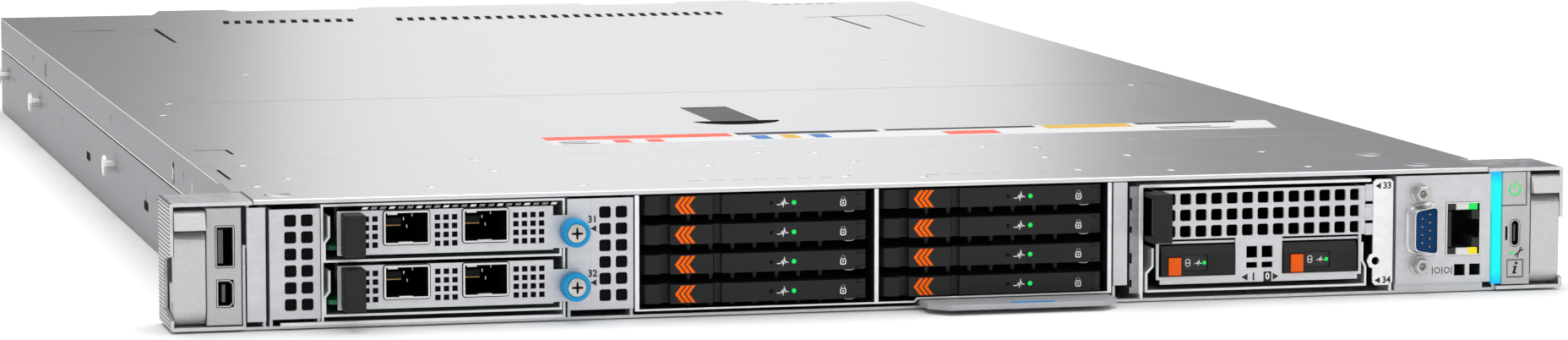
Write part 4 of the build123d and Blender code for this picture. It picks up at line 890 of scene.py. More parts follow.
@dataclass
class Housing:
    """Sheet-metal body: chassis, covers, ears, bays, and the marks pressed or cut into the top."""

    top: float = 42.8
    front: float = -28.0
    latch_pan: Span = (177.0, 249.5)

    def dress(self, p: Palette) -> None:
        """Finish the CAD's sheet parts."""
        # Faces beyond the side planes take the half-tone zinc: painted shade on walls turned away from the lamps.
        side = lambda c: abs(c[:, 0]) > 216.9
        pan = lambda c: inside(c, (-17.9, 17.9), self.latch_pan, (30, 42.75))
        dress("chassis_base", p.zinc, p.wall, choose=side)
        dress("front_top_panel", p.top, p.wall, choose=side)
        dress("top_cover", p.top, p.wall, p.black, choose=lambda c: side(c) + 2 * pan(c))
        dress("cover_latch", p.black)
        for hand in ("left", "right"):
            dress(f"rack_ear_{hand}", p.ear)
            # Faces of the scoop under the lip take the darker paint: painted shade.
            scoop = lambda c: inside(c, y=(-31.0, -24.5), z=(30.4, 34.2))
            dress(f"latch_{hand}", p.silver, p.shade, choose=scoop)
        dress("rail_studs", p.steel)
        # The bay frames take the paler zinc: painted light on walls that sit recessed in shade.
        for node in ("card_bay_frame", "boot_bay_frame"):
            dress(node, p.bright)
        # The cage's front edge takes the paler zinc, a painted highlight; every face behind it takes black, painted
        # shade inside the bays.
        dress("drive_cage", p.bright, p.black, choose=lambda c: c[:, 1] > -27.9)
        dress("management_panel", p.face)
        dress("fan_modules", p.black)
        dress("air_shroud", p.black)
        dress("heat_sinks", p.aluminium)
        dress("memory_modules", p.board)
        dress("drive_backplane", p.board, p.black, choose=lambda c: inside(c, y=(89, 91.99)))
        dress("system_board", p.board, p.steel, choose=lambda c: c[:, 2] < 4.9)

    def marks(self, p: Palette) -> None:
        """Cut-outs, dimples and pressed lines of the top as shallow pieces on its face: the cut-outs as near-black
        painted shade, the seam as a line of painted shade, and the dimples, bosses and dashes in the top's own zinc.
        """
        cover = Skin("cover_marks", p.hollow_shade_black, p.top, p.wall)
        panel = Skin("front_panel_marks", p.hollow_shade_black, p.top)
        flush = (self.top - 0.05, self.top + 0.02)
        # Cut-outs of the top are near-black flat strips: painted shade where the holes would show the inside.
        for x in (-196.0, 144.0):
            path = [(x, 663.0), (x + 40, 667.0), (x + 39, 598.0)]
            cover.carried(path, 1.2, flush, Facing.TOP)
        for x in np.concatenate([np.arange(-121, -62, 5.2), np.arange(-41, 111, 5.2)]):
            slot = [(x, 688.0), (x + 2.2, 706.0)]
            cover.carried(slot, 2.7, flush, Facing.TOP)
        for x in np.arange(147, 180, 5.5):
            cover.carried([(x, 741.5), (x + 3.6, 741.5)], 2.2, flush, Facing.TOP)
        dimple = [(2.0, self.top - 0.05), (1.6, self.top + 0.12), (1.0, self.top + 0.2), (0.3, self.top + 0.22)]
        for x, y in ((-197, 311), (-205, 266), (-150, 430), (0, 520), (120, 430), (188, 300), (60, 640), (-60, 640)):
            cover.turned(dimple, (x, y), Facing.TOP, 1, 20)
        spots = [(-192.8, 34.2), (-206.4, 13.1), (-120, 44), (-45, 44), (6.6, 42.5), (75.2, 40.8), (105.6, 41.0)]
        spots += [(154.9, 40.5), (-18.3, 80.7), (0.5, 74.5), (63.8, 80.9), (81.8, 74.1), (-7.9, -1.6), (17.2, -9.9)]
        spots += [(74.8, -1.6), (105.4, -9.9), (154.8, -10.2), (-201.5, 79.8), (-100, -8), (-150, -2), (-120, 80)]
        for x, y in spots:
            panel.turned(dimple, (x, y), Facing.TOP, 1, 20)
        boss = [(5.2, self.top - 0.05), (4.6, self.top + 0.15), (3.9, self.top + 0.18), (3.3, self.top + 0.02)]
        boss += [(0.01, self.top + 0.02)]
        for x, y in ((193.5, -14.0), (188.9, 22.1), (-203.0, -14.0)):
            panel.turned(boss, (x, y), Facing.TOP, 1, 28)
        for start in (*np.arange(-63, -17, 7.6), *np.arange(20, 67, 7.6)):
            path = [(start, -5.0), (start + 4.2, -5.0)]
            panel.carried(path, 0.9, (self.top - 0.05, self.top + 0.15), Facing.TOP, 1)
        # These two slots are near-black strips too: painted shade.
        cover.carried([(-211, 133), (-199.8, 133), (-199.5, 117)], 1.1, flush, Facing.TOP)
        panel.carried([(-212, 36), (-212, 67)], 1.1, flush, Facing.TOP)
        # The pressed seam is a half-tone zinc line: painted shade in the crease.
        seam = [(-194.4, 313.0), (197.5, 308.0), (197.8, 284.0)]
        cover.carried(seam, 0.9, flush, Facing.TOP, 2)
        cover.carried([(-190, 105), (200, 105)], 0.5, (self.top - 0.05, self.top + 0.01), Facing.TOP, 1)
        cover.build("top_cover", "zinc_sheet")
        panel.build("chassis", "zinc_sheet")

    def sides(self, p: Palette) -> None:
        """Slots in near-black painted shade, pins, dimples, and paler lines along the folds as painted highlight, on
        both side walls, mirrored in the middle plane.
        """
        base = Skin("side_wall_details", p.hollow_shade_black, p.steel, p.wall, p.bright)
        cover = Skin("cover_side_details", p.hollow_shade_black, p.steel, p.wall, p.bright)
        flat = Facing.SIDE
        for sign in (-1, 1):
            face = lambda proud: (sign * (217.0 + proud), sign * 216.85)
            # Slots as near-black pieces: painted shade in the openings.
            base.prism(rounded((222.0, 13.5), (13.0, 3.4), 1.6), face(0.02), flat)
            base.prism(rounded((405.0, 13.5), (13.0, 3.4), 1.6), face(0.02), flat)
            # Paler zinc lines along the folds: painted highlight.
            base.prism(oblong((28.0, 748.0), (28.75, 29.4)), face(0.12), flat, 3)
            cover.prism(oblong((93.2, 747.8), (42.2, 42.7)), face(0.1), flat, 3)
            base.prism(oblong((28.0, 92.3), (42.2, 42.7)), face(0.1), flat, 3)
            cover.prism(rounded((144.2, 34.8), (2.8, 6.6), 1.3), face(0.02), flat)
            cover.prism(rounded((144.3, 33.8), (1.3, 4.4), 0.5), face(0.2), flat, 1)
            cover.prism(rounded((560.0, 34.8), (2.8, 6.6), 1.3), face(0.02), flat)
            cover.prism(oblong((93.2, 94.6), (31.0, 36.0)), face(0.15), flat, 1)
            depth = sign * 217.0
            dimple = [(2.4, depth - 0.05 * sign), (2.0, depth + 0.12 * sign), (0.5, depth + 0.2 * sign)]
            for y in (118.0, 330.0, 610.0):
                cover.turned([*dimple, (0.01, depth + 0.2 * sign)], (y, 35.0), flat, 2, 20)
            for y in (190.0, 500.0, 690.0):
                base.turned([*dimple, (0.01, depth + 0.2 * sign)], (y, 18.0), flat, 2, 20)
        base.build("chassis", "zinc_sheet")
        cover.build("top_cover", "zinc_sheet")

    def label(self, p: Palette) -> None:
        """A generic label strip of plain colour blocks, without words."""
        strip = Skin("cover_label", p.paper, p.coral, p.charcoal, p.amber, p.sky)
        low, high = self.top - 0.04, self.top + 0.05
        ground = np.array([(-83.5, 121.0), (188.0, 121.0), (193.0, 149.0), (-83.5, 149.0)])
        strip.prism(ground, (low, high), Facing.TOP)
        blocks = (
            (1, (-83.0, -14.0), (137.0, 148.6)),
            (2, (-11.5, 42.0), (141.0, 148.6)),
            (4, (-8.0, -2.0), (125.0, 138.0)),
            (3, (3.0, 9.0), (125.0, 138.0)),
            (4, (14.0, 20.0), (125.0, 138.0)),
            (2, (45.0, 102.0), (143.0, 148.6)),
            (1, (64.0, 84.0), (125.0, 137.0)),
            (3, (105.0, 138.0), (137.0, 148.6)),
            (2, (141.0, 180.0), (143.5, 148.6)),
            (2, (-80.0, -66.0), (124.0, 126.0)),
            (2, (-80.0, -70.0), (129.0, 131.0)),
            (1, (-60.0, -54.0), (124.0, 134.0)),
            (1, (-48.0, -42.0), (124.0, 134.0)),
            (2, (145.0, 172.0), (126.0, 128.0)),
            (2, (145.0, 166.0), (131.0, 133.0)),
        )
        for finish, across, along in blocks:
            strip.prism(oblong(across, along), (high - 0.01, high + 0.03), Facing.TOP, finish)
        strip.build("top_cover")

    def build(self, p: Palette) -> None:
        """Finish the body and lay its marks."""
        self.dress(p)
        self.marks(p)
        self.sides(p)
        self.label(p)


@dataclass
class FrontPlates:
    """Filler strip, two perforated plates and the plain plate, with folded returns."""

    front: float = -28.0
    sheet: float = 1.0
    hole: float = 3.95
    pitch: float = 5.53
    corner: float = 0.8
    top_row: float = 37.7
    back: float = -15.0

    def vents(self, skin: Skin, edges: Span, z: Span, left: float, finish: int = 0) -> None:
        """A plate with two columns of six round-cornered holes."""
        lane = self.pitch - self.hole
        first_end = left + self.hole + lane / 2
        second_end = left + self.pitch + self.hole + lane / 2
        u = [edges[0], left - lane / 2, first_end, second_end, edges[1]]
        rows = [self.top_row - self.hole / 2 - k * self.pitch for k in range(6)]
        v = [z[0]] + [m - self.pitch / 2 for m in rows[::-1]] + [rows[0] + self.pitch / 2, z[1]]
        holes = {
            (1 + c, 1 + r): rounded((left + self.hole / 2 + c * self.pitch, m), (self.hole, self.hole), self.corner)
            for c in range(2)
            for r, m in enumerate(rows[::-1])
        }
        skin.perforated(u, v, holes, (self.front, self.front + self.sheet), Facing.FRONT, finish)

    def build(self, p: Palette) -> None:
        """Make the four plates in place of the CAD's."""
        skin = Skin("front_plate_set", p.face, p.ink, p.hollow_shade_black)
        face = (self.front, self.front + self.sheet)
        fold = (self.front + self.sheet, self.back)
        skin.prism(oblong((-215.8, -209.6), (2.8, 40.3)), face, bevel=0.15)
        skin.prism(oblong((-210.6, -209.6), (1.0, 40.3)), fold)
        self.vents(skin, (-208.4, -191.7), (3.4, 39.5), -203.5)
        skin.prism(oblong((-208.4, -207.4), (1.0, 39.5)), fold)
        skin.prism(oblong((-192.7, -191.7), (1.0, 39.5)), fold)
        screw = {(0, row): rounded((-107.6, z), (2.9, 2.9), 1.42) for row, z in ((1, 11.9), (3, 29.8))}
        skin.perforated((-109.3, -101.5), (3.4, 9.0, 15.0, 26.5, 33.0, 40.4), screw, face)
        self.vents(skin, (-101.5, -87.1), (3.4, 40.4), -98.6)
        skin.prism(oblong((-109.2, -108.2), (1.0, 40.4)), fold)
        skin.prism(oblong((-88.1, -87.1), (1.0, 40.4)), fold)
        skin.prism(oblong((79.0, 84.0), (5.9, 41.0)), face, bevel=0.15)
        skin.prism(oblong((79.0, 80.0), (1.0, 41.0)), fold)
        # Near-black sheets behind the holes: painted shade seen through the vents.
        for across in ((-207.3, -192.8), (-99.5, -88.2)):
            skin.prism(oblong(across, (4.0, 38.9)), (-26.98, -26.9), finish=2)
        for text, z in (("31", 33.4), ("32", 15.4)):
            skin.lettered(text, Vector((-100.9, self.front, z)), 3.2, finish=1)
            arrow = np.array([(-101.6, z - 3.0), (-99.6, z - 4.1), (-99.6, z - 1.9)])
            skin.prism(arrow, (self.front - 0.03, self.front + 0.02), finish=1)
        skin.build("chassis", "zinc_sheet", ("front_plates",))


@dataclass
class NetworkCards:
    """Two cards: faces, cages, pull tabs and blue captive screws."""

    pitch: float = 17.9
    left: float = -186.2
    face: float = -28.9
    top: float = 38.4
    cages: tuple[float, float] = (-170.7, -144.4)
    cage_width: float = 14.8
    screw: tuple[float, float] = (-107.7, 29.8)

    def knob(self, p: Palette, number: int, z: float) -> None:
        """A ribbed blue ring round a steel core with a cross recess."""
        skin = Skin(f"thumbscrew_knob_{number}", p.blue, p.screw, p.hollow_shade_black)
        at = (self.screw[0], z)
        ripple = lambda r, a: np.where((r > 4.2), -0.24 * (0.5 + 0.5 * np.cos(30 * a)) ** 2, 0.0)
        ring = [(1.55, -29.05), (4.25, -29.1), (4.6, -29.5), (4.8, -30.4), (4.8, -33.0), (4.8, -35.2), (4.55, -35.8)]
        ring += [(4.18, -36.0), (3.5, -36.0), (3.25, -35.85), (3.15, -35.4), (1.55, -35.3)]
        shape = np.array(ring + [ring[0]])
        skin.turned(shape, at, steps=240, ripple=ripple)
        core = [(0.01, -35.0), (3.1, -35.0), (3.1, -36.0), (2.85, -36.2), (2.0, -36.27), (0.01, -36.3)]
        skin.turned(core, at, finish=1, steps=40)
        shaft = [(0.01, -35.2), (1.25, -35.2), (1.25, -20.3), (1.0, -20.0), (0.01, -20.0)]
        skin.turned(shaft, at, finish=1, steps=24)
        # The cross recess is a thin near-black piece: painted shade in the recess.
        cross = [(-1.9, 0.3), (-0.42, 0.42), (-0.3, 1.9), (0.3, 1.9), (0.42, 0.42), (1.9, 0.3)]
        cross += [(-x, -y) for x, y in cross]
        skin.prism(np.array(cross)[::-1] + np.array(at), (-36.33, -36.0), finish=2)
        skin.build(f"thumbscrew_{number}", "blue_plastic", (f"thumbscrew_{number}",))

    def card(self, p: Palette, number: int) -> None:
        """Finish one card and add its cage rims, contacts and tab ribs, with near-black painted shade round the cages,
        on the vent holes and behind them.
        """
        drop = (number - 1) * self.pitch
        top, low = self.top - drop, self.top - 14.5 - drop
        node = f"network_card_{number}"
        tab = lambda c: inside(c, (self.left + 1.1, self.left + 7.9), (-39.2, -28.95))
        plate = lambda c: inside(c, (self.left - 0.1, -102), (-29.45, -28.05), (low - 0.1, top + 0.1)) & ~tab(c)
        hollow = lambda c: inside(c, (self.cages[0] + 0.1, self.cages[1] + 14.7), (-29.3, 19), (low + 3.6, low + 14.4))
        cage = lambda c: inside(c, (self.cages[0] - 0.1, self.cages[1] + 15), (-29.5, 19.2), (low + 3.3, low + 14.6))
        board = lambda c: inside(c, (-189.3, -112), (-28.3, 82), (low + 1.7, low + 3.5))

        def choose(c: np.ndarray) -> np.ndarray:
            """Cooler, then board, cage outside, cage inside in painted shade, face, the board's front edge in painted
            shade, and tab.
            """
            pick = np.full(len(c), 5)
            pick[board(c)] = 1
            pick[cage(c)] = 3
            # The cages' insides and the board's front edge take the near-black: painted shade.
            pick[hollow(c) & (c[:, 1] > -29.2)] = 4
            pick[plate(c)] = 0
            pick[board(c) & inside(c, y=(-28.2, -28.05))] = 4
            pick[tab(c)] = 2
            return pick

        dress(node, p.face, p.board, p.rubber, p.steel, p.hollow_shade_black, p.aluminium, choose=choose)
        skin = Skin(f"card_details_{number}", p.steel, p.gold, p.hollow_shade_black, p.rubber, p.board)
        for x in self.cages:
            z0, z1 = low + 3.4, low + 14.0
            ring = rounded((x + self.cage_width / 2, (z0 + z1) / 2), (self.cage_width - 0.2, z1 - z0 - 0.2), 0.5)
            skin.carried(ring[::-1], 0.55, (-29.75, -29.35), closed=True)
            # A near-black ring round the cage opening: painted shade in the gap.
            skin.carried(grown(ring, 0.5)[::-1], 0.3, (-28.93, -28.86), finish=2, closed=True)
            skin.prism(oblong((x + 4.6, x + 9.4), (z0 + 0.2, z0 + 0.75)), (-30.0, -27.0), bevel=0.12)
            skin.prism(oblong((x + 1.0, x + 4.4), (z1 - 1.0, z1 - 0.4)), (-29.5, -24.0), bevel=0.1)
            for k in range(7):
                at = x + 2.3 + k * 0.7
                skin.prism(oblong((at, at + 0.42), (z0 + 4.9, z0 + 5.3)), (-20.0, -8.0), finish=1)
            skin.prism(oblong((x + 0.7, x + 7.4), (z0 + 5.3, z0 + 7.5)), (-19.0, -6.0), finish=3)
            for u, v in ((8.5, 6.2), (9.6, 3.6), (11.4, 7.4)):
                skin.prism(oblong((x + u, x + u + 0.35), (z0 + v, z0 + v + 1.1)), (-16.0, -15.7))
        for k in range(8):
            z = low + 1.5 + k * 1.6
            left = self.left + 1.2
            skin.prism(oblong((-38.3, -30.2), (z, z + 0.8)), (left - 0.25, left + 0.1), Facing.SIDE, 3, 0.1)
        # Near-black squares on the face stand for vent holes: painted shade.
        for k in range(8):
            x, z = self.left + 8.7 + k % 2 * 2.87, top - 1.8 - k // 2 * 2.87
            skin.prism(oblong((x, x + 1.85), (z - 1.85, z)), (-28.93, -28.88), finish=2)
        # Near-black sheets just behind the face: painted shade seen through the vents.
        groups = (self.left + 13.6, self.cages[0] - 0.2), (self.cages[0] + 15.0, self.cages[1] - 0.2), (-129.4, -113.0)
        for across in groups:
            skin.prism(oblong(across, (low + 1.0, top - 0.9)), (-28.07, -27.97), finish=2)
        skin.prism(oblong((-189.0, -186.4), (low + 1.9, low + 3.3)), (-28.6, -28.0), finish=4)
        skin.build(node, "card_face")

    def build(self, p: Palette) -> None:
        """Make both cards."""
        for number in (1, 2):
            self.card(p, number)
            self.knob(p, number, self.screw[1] - (number - 1) * self.pitch)
        fingers = Skin("hood_gasket_fingers", p.steel, p.case)
        # Two of every three fingers take the dark metal: painted shade along a row of like steel fingers.
        for k in range(22):
            x = -178.0 + k * 3.0
            slant = np.array([(x, 38.75), (x + 1.9, 38.75), (x + 2.4, 39.5), (x + 0.5, 39.5)])
            fingers.prism(slant, (-27.9, -27.5), finish=1 if k % 3 else 0)
        fingers.build("chassis", "zinc_sheet")
        # A strip of paler zinc for the floor's front flange: painted highlight.
        lip = Skin("card_bay_lip", p.bright)
        lip.prism(oblong((-205.0, -110.4), (1.0, 2.2)), (-27.9, -27.1), bevel=0.15)
        lip.build("chassis", "zinc_sheet")


@dataclass
class DriveBay:
    """Eight drive carriers with orange chevrons, lamps and plain pictograms."""

    columns: tuple[float, float] = (-84.1, -2.1)
    top: float = 40.5
    pitch: float = 9.87
    height: float = 6.4
    front: float = -28.5
    ink: float = 0.04

    def marks(self, p: Palette, number: int, left: float, middle: float) -> None:
        """Chevrons on the release, and the lamps, pulse and lock on the handle."""
        ink = (self.front - self.ink, self.front + 0.02)
        arrows = Skin(f"release_chevrons_{number}", p.chevron)
        for k in range(3):
            x = left + 11.0 + k * 1.78
            half = [(x, 0.0), (x + 2.2, 2.85), (x + 3.45, 2.85)]
            half += [(x + 1.25, 0.0), (x + 3.45, -2.85), (x + 2.2, -2.85)]
            arrows.prism(np.array(half)[::-1] + np.array((0, middle)), ink)
        arrows.build(f"drive_release_{number}", "drive_black")
        skin = Skin(f"handle_marks_{number}", p.pale, p.green, p.hollow_shade_black, p.satin, p.steel)
        lens = [(0.01, self.front - 0.12), (0.5, self.front - 0.1), (0.85, self.front + 0.02)]
        skin.turned(lens, (left + 51.7, middle), finish=1, steps=20)
        dot = [(0.01, self.front - 0.03), (0.5, self.front - 0.03), (0.62, self.front)]
        skin.turned(dot, (left + 43.9, middle), finish=2, steps=18)
        skin.carried(disc((left + 43.9, middle), 0.75, 18), 0.16, ink, finish=3, closed=True)
        x = left + 45.9
        pulse = [(0, -0.6), (1.3, -0.6), (1.75, 0.45), (2.05, -1.4)]
        pulse += [(2.5, 1.5), (2.85, -0.5), (3.15, 0.0), (3.8, -0.3)]
        skin.strokes([(x + a, middle + b) for a, b in pulse], 0.3, ink)
        x = left + 68.6
        skin.carried(rounded((x, middle - 0.6), (1.7, 1.7), 0.3, 2), 0.34, ink, closed=True)
        skin.prism(disc((x, middle - 0.6), 0.3, 10), ink)
        bow = arc((x, middle + 0.85), 0.58, 180, 0, 8)
        skin.strokes([(x - 0.58, middle + 0.2), *bow, (x + 0.58, middle + 0.2)], 0.3, ink)
        outline = rounded((left + 71.3, middle - 0.2), (5.0, 4.6), 1.2, 4)
        skin.carried(outline, 0.12, (self.front - 0.015, self.front + 0.02), finish=3, closed=True)
        skin.build(f"drive_handle_{number}", "drive_black")

    def build(self, p: Palette) -> None:
        """Finish and mark all eight drives."""
        for number in range(1, 9):
            left = self.columns[(number - 1) // 4]
            middle = self.top - self.height / 2 - (number - 1) % 4 * self.pitch
            back = lambda c: c[:, 1] > -21.95
            dress(f"drive_{number}", p.satin, p.case, choose=back)
            dress(f"drive_handle_{number}", p.satin)
            dress(f"drive_release_{number}", p.satin)
            self.marks(p, number, left, middle)
            spring = Skin(f"drive_spring_{number}", p.steel)
            low = middle - self.height / 2
            path = [(left + 69.6, low - 0.25), (left + 70.6, low - 0.7)]
            path += [(left + 72.6, low - 0.7), (left + 73.6, low - 0.2)]
            spring.carried(path, 0.22, (-24.8, -23.4))
            spring.build(f"drive_{number}", "drive_case")


@dataclass
class BootModule:
    """The boot module's face with rounded holes, two small drives and the slot bracket's marks."""

    front: float = -28.0
    left: float = 93.0
    right: float = 168.9
    hole: float = 3.95
    pitch: float = 5.53

    def face(self, p: Palette) -> None:
        """A thin face over the CAD sheet, with the holes' corners rounded, and the strip's numerals."""

        def choose(c: np.ndarray) -> np.ndarray:
            """Sheet, then the pull loop, and near-black painted shade on everything behind the holes."""
            pick = np.zeros(len(c))
            pick[inside(c, (89.9, 96.6), (-38.9, -28.01), (20.8, 37.7))] = 1
            # Faces behind the holes take the near-black: painted shade.
            pick[inside(c, (94.1, 168.0), (-26.95, 400.0), (7.0, 37.4))] = 2
            return pick

        dress("boot_module", p.face, p.rubber, p.hollow_shade_black, choose=choose)
        skin = Skin("boot_face", p.face, p.ink, p.pale)
        first, rows = self.left + 4.05, [36.65 - self.hole / 2 - k * self.pitch for k in range(3)]
        lane = (self.pitch - self.hole) / 2
        u = [self.left] + [first - lane + k * self.pitch for k in range(14)] + [self.right]
        v = [21.0] + [m - self.pitch / 2 for m in rows[::-1]][1:] + [rows[0] + self.hole / 2 + 0.5, 37.6]
        holes = {
            (1 + c, r): rounded((first + self.hole / 2 + c * self.pitch, m), (self.hole, self.hole), 0.8)
            for c in range(13)
            for r, m in enumerate(rows[::-1])
        }
        skin.perforated(u, v, holes, (self.front - 0.12, self.front + 0.01))
        span = (self.front - 0.03, self.front + 0.02)
        skin.lettered("1", Vector((129.0, self.front, 7.4)), 3.6, finish=1)
        skin.prism(np.array([(124.6, 7.4), (126.9, 6.2), (126.9, 8.6)]), span, finish=1)
        skin.prism(rounded((134.0, 7.4), (2.8, 3.5), 0.2, 2), span, finish=1)
        skin.lettered("0", Vector((134.0, self.front - 0.03, 7.4)), 3.0, finish=2)
        skin.prism(np.array([(138.0, 7.4), (135.9, 8.6), (135.9, 6.2)]), span, finish=1)
        skin.build("boot_module", "zinc_sheet")

    def drive(self, p: Palette, number: int, left: float) -> None:
        """Finish one small drive and add its lamp, drum and pulse marks."""
        release = lambda c: inside(c, (left + 2.4, left + 7.0), (-29.3, -25.6), (8.7, 15.0))
        dress(f"boot_drive_{number}", p.satin, p.orange, choose=release)
        skin = Skin(f"boot_drive_marks_{number}", p.pale, p.green, p.black)
        pocket = -28.0
        span = (pocket - 0.04, pocket + 0.02)
        skin.prism(oblong((left + 7.8, left + 16.4), (10.2, 15.5)), (pocket - 0.02, pocket + 0.02), finish=2)
        x, z = left + 9.6, 12.9
        skin.carried(rounded((x, z), (1.5, 2.3), 0.5, 3), 0.22, span, closed=True)
        skin.carried(arc((x, z + 0.55), 0.72, 200, 340, 6), 0.2, span)
        pulse = [(0, -0.3), (0.8, -0.3), (1.0, 0.3), (1.3, -0.9), (1.6, 0.9), (1.85, -0.3), (2.6, -0.3)]
        skin.strokes([(left + 12.0 + a, z + b) for a, b in pulse], 0.26, span)
        skin.prism(oblong((left + 14.9, left + 16.1), (z - 0.7, z + 0.5)), (pocket - 0.1, pocket + 0.02), finish=1)
        skin.build(f"boot_drive_{number}", "drive_black")

    def build(self, p: Palette) -> None:
        """Make the module's looks."""
        self.face(p)
        self.drive(p, 0, 139.6)
        self.drive(p, 1, 95.9)
        skin = Skin("bracket_numbers", p.ink, p.face)
        for text, z in (("33", 37.4), ("34", 4.9)):
            skin.lettered(text, Vector((176.9, self.front, z)), 3.1)
            arrow = np.array([(172.6, z), (174.6, z - 1.1), (174.6, z + 1.1)])
            skin.prism(arrow, (self.front - 0.03, self.front + 0.02))
        for low, high in ((20.6, 24.6), (25.6, 31.2), (32.2, 38.0)):
            skin.prism(oblong((169.1, 172.4), (low, high)), (-27.7, -27.0), finish=1, bevel=0.12)
        skin.prism(oblong((168.7, 171.0), (26.6, 30.2)), (-28.25, -27.7), finish=1, bevel=0.1)
        skin.build("chassis")
        flange = Skin("boot_bay_flange", p.wall, p.bright, p.hollow_shade_black)
        # The flange face takes the half-tone zinc and its edge strip the paler zinc, painted shade and a painted
        # highlight; its slots are near-black painted shade.
        flange.prism(oblong((84.9, 88.3), (3.0, 39.4)), (-27.6, -27.0), bevel=0.1)
        flange.prism(oblong((88.1, 88.6), (2.6, 39.6)), (-27.95, -27.0), finish=1, bevel=0.1)
        for z, size in ((33.5, 4.2), (24.8, 2.2), (15.0, 3.6), (6.4, 2.6)):
            flange.prism(rounded((85.3, z), (0.8, size), 0.3), (-27.63, -27.58), finish=2)
        flange.build("chassis", "zinc_sheet")


@dataclass
class Sockets:
    """Every fixed connector of the front, in place of the CAD's set."""

    front: float = -28.0

    def host(self, skin: Skin, z: float, size: Span, tongue: tuple[Span, Span], corner_cut: float = 0.0) -> None:
        """An upright socket: thin shell, dark back and a tongue with contacts; the inner walls, the outline ring and
        the back are painted shade.
        """
        x, w, h = -223.0, size[0] - 0.2, size[1] - 0.2
        cut = corner_cut
        shell = [(x - w / 2, z - h / 2), (x + w / 2 - cut, z - h / 2), (x + w / 2, z - h / 2 + cut)]
        shell += [(x + w / 2, z + h / 2 - cut), (x + w / 2 - cut, z + h / 2), (x - w / 2, z + h / 2)]
        if not cut:
            shell = list(rounded((x, z), (w, h), 0.5, 3))
        ring = np.array(shell)
        # Dark metal inner walls, and a near-black outline ring and back: painted shade inside the socket.
        skin.carried(grown(ring, -0.22), 0.44, (self.front + 0.05, self.front + 14.0), closed=True, finish=10)
        skin.carried(grown(ring, -0.1), 0.2, (self.front - 0.08, self.front + 0.2), closed=True)
        skin.carried(grown(ring, 0.16), 0.2, (self.front - 0.03, self.front + 0.1), closed=True, finish=1)
        skin.prism(grown(ring, -0.2), (self.front + 12.0, self.front + 14.0), finish=1)
        skin.carried(grown(ring, -0.5), 0.12, (self.front + 0.6, self.front + 12.0), closed=True, finish=1)
        (u0, u1), (v0, v1) = tongue
        skin.prism(oblong((u0, u1), (v0, v1)), (self.front + 0.5, self.front + 13.0), finish=9, bevel=0.2)
        for k in range(4):
            v = v0 + (v1 - v0) * (k + 0.5) / 4
            contact = oblong((u1 - 0.05, u1 + 0.08), (v - 0.35, v + 0.35))
            skin.prism(contact, (self.front + 2.0, self.front + 9.0), finish=3)

    def type_c(self, skin: Skin) -> None:
        """A small reversible socket with rounded ends."""
        ring = rounded((223.65, 19.8), (3.2, 9.2), 1.59, 6)
        # Dark metal inner walls, and a near-black outline ring and back: painted shade inside the socket.
        skin.carried(grown(ring, -0.2), 0.4, (self.front + 0.05, self.front + 11.0), closed=True, finish=10)
        skin.carried(grown(ring, -0.1), 0.2, (self.front - 0.08, self.front + 0.2), closed=True)
        skin.carried(grown(ring, 0.16), 0.2, (self.front - 0.03, self.front + 0.1), closed=True, finish=1)
        skin.prism(grown(ring, -0.2), (self.front + 10.0, self.front + 12.0), finish=1)
        skin.carried(grown(ring, -0.46), 0.12, (self.front + 0.5, self.front + 10.0), closed=True, finish=1)
        skin.prism(oblong((223.3, 224.0), (16.9, 22.7)), (self.front + 0.6, self.front + 11.0), finish=9, bevel=0.15)

    def serial(self, skin: Skin) -> None:
        """The nine-pin socket: flanged plate, drawn shell, blue insert and gold pins."""
        x, z = 189.2, 22.1
        w, h = 8.7, 17.0
        right_side = [(x + w / 2, z - h / 2), (x + w / 2, z + h / 2)]
        base = np.array([(x - w / 2, z - h / 2 + 1.4), *right_side, (x - w / 2, z + h / 2 - 1.4)])
        smooth = self.softened(base, 2.2)
        plate = self.softened(grown(base, 1.15), 2.8)
        skin.prism(plate, (self.front - 0.8, self.front), bevel=0.3)
        steps = [(0.6, -0.8), (0.25, -1.1), (0.02, -1.8), (0.0, -5.7)]
        steps += [(-0.15, -6.0), (-0.45, -6.0), (-0.5, -5.7), (-0.5, -1.0)]
        rings = [Facing.FRONT.place(grown(smooth, g), self.front + d) for g, d in steps]
        skin.grid(np.stack(rings), 0, (False, False))
        skin.prism(grown(smooth, -0.5), (self.front - 5.0, self.front - 0.2), finish=4)
        for u, n in ((-1.4, 4), (1.4, 5)):
            for k in range(n):
                at = (x + u, z + (k - (n - 1) / 2) * 2.77)
                pin = [(0.01, self.front - 5.5), (0.24, self.front - 5.4), (0.3, self.front - 5.0)]
                skin.turned(pin, at, finish=3, steps=12)
        for v in (34.6, 9.6):
            self.standoff(skin, (x - 0.6, v))

    def standoff(self, skin: Skin, at: Span) -> None:
        """A hex nut with a threaded hole: rings whose radius goes from a hexagon's to a circle's."""
        angle = np.arange(24) * 2 * pi / 24
        six = cos(pi / 6) / np.cos(angle % (pi / 3) - pi / 6)
        around = np.stack([np.cos(angle), np.sin(angle)], 1)
        ring = lambda r, d: Facing.FRONT.place(np.array(at) + around * np.array(r).reshape(-1, 1), self.front + d)
        body = [ring(2.88 * six, -0.7), ring(2.88 * six, -4.6), ring(2.6 * six, -4.9), ring(1.6 + 0 * six, -4.9)]
        skin.grid(np.stack([*body, ring(1.2 + 0 * six, -4.55), ring(0.9 + 0 * six, -4.2)]), 8, (True, False))
        skin.grid(np.stack([ring(0.9 + 0 * six, -4.2), ring(0.8 + 0 * six, -2.4)]), 8, (False, True))
        washer = [(2.2, self.front), (3.4, self.front), (3.3, self.front - 0.6), (2.2, self.front - 0.75)]
        skin.turned(washer, at, finish=8, steps=32)

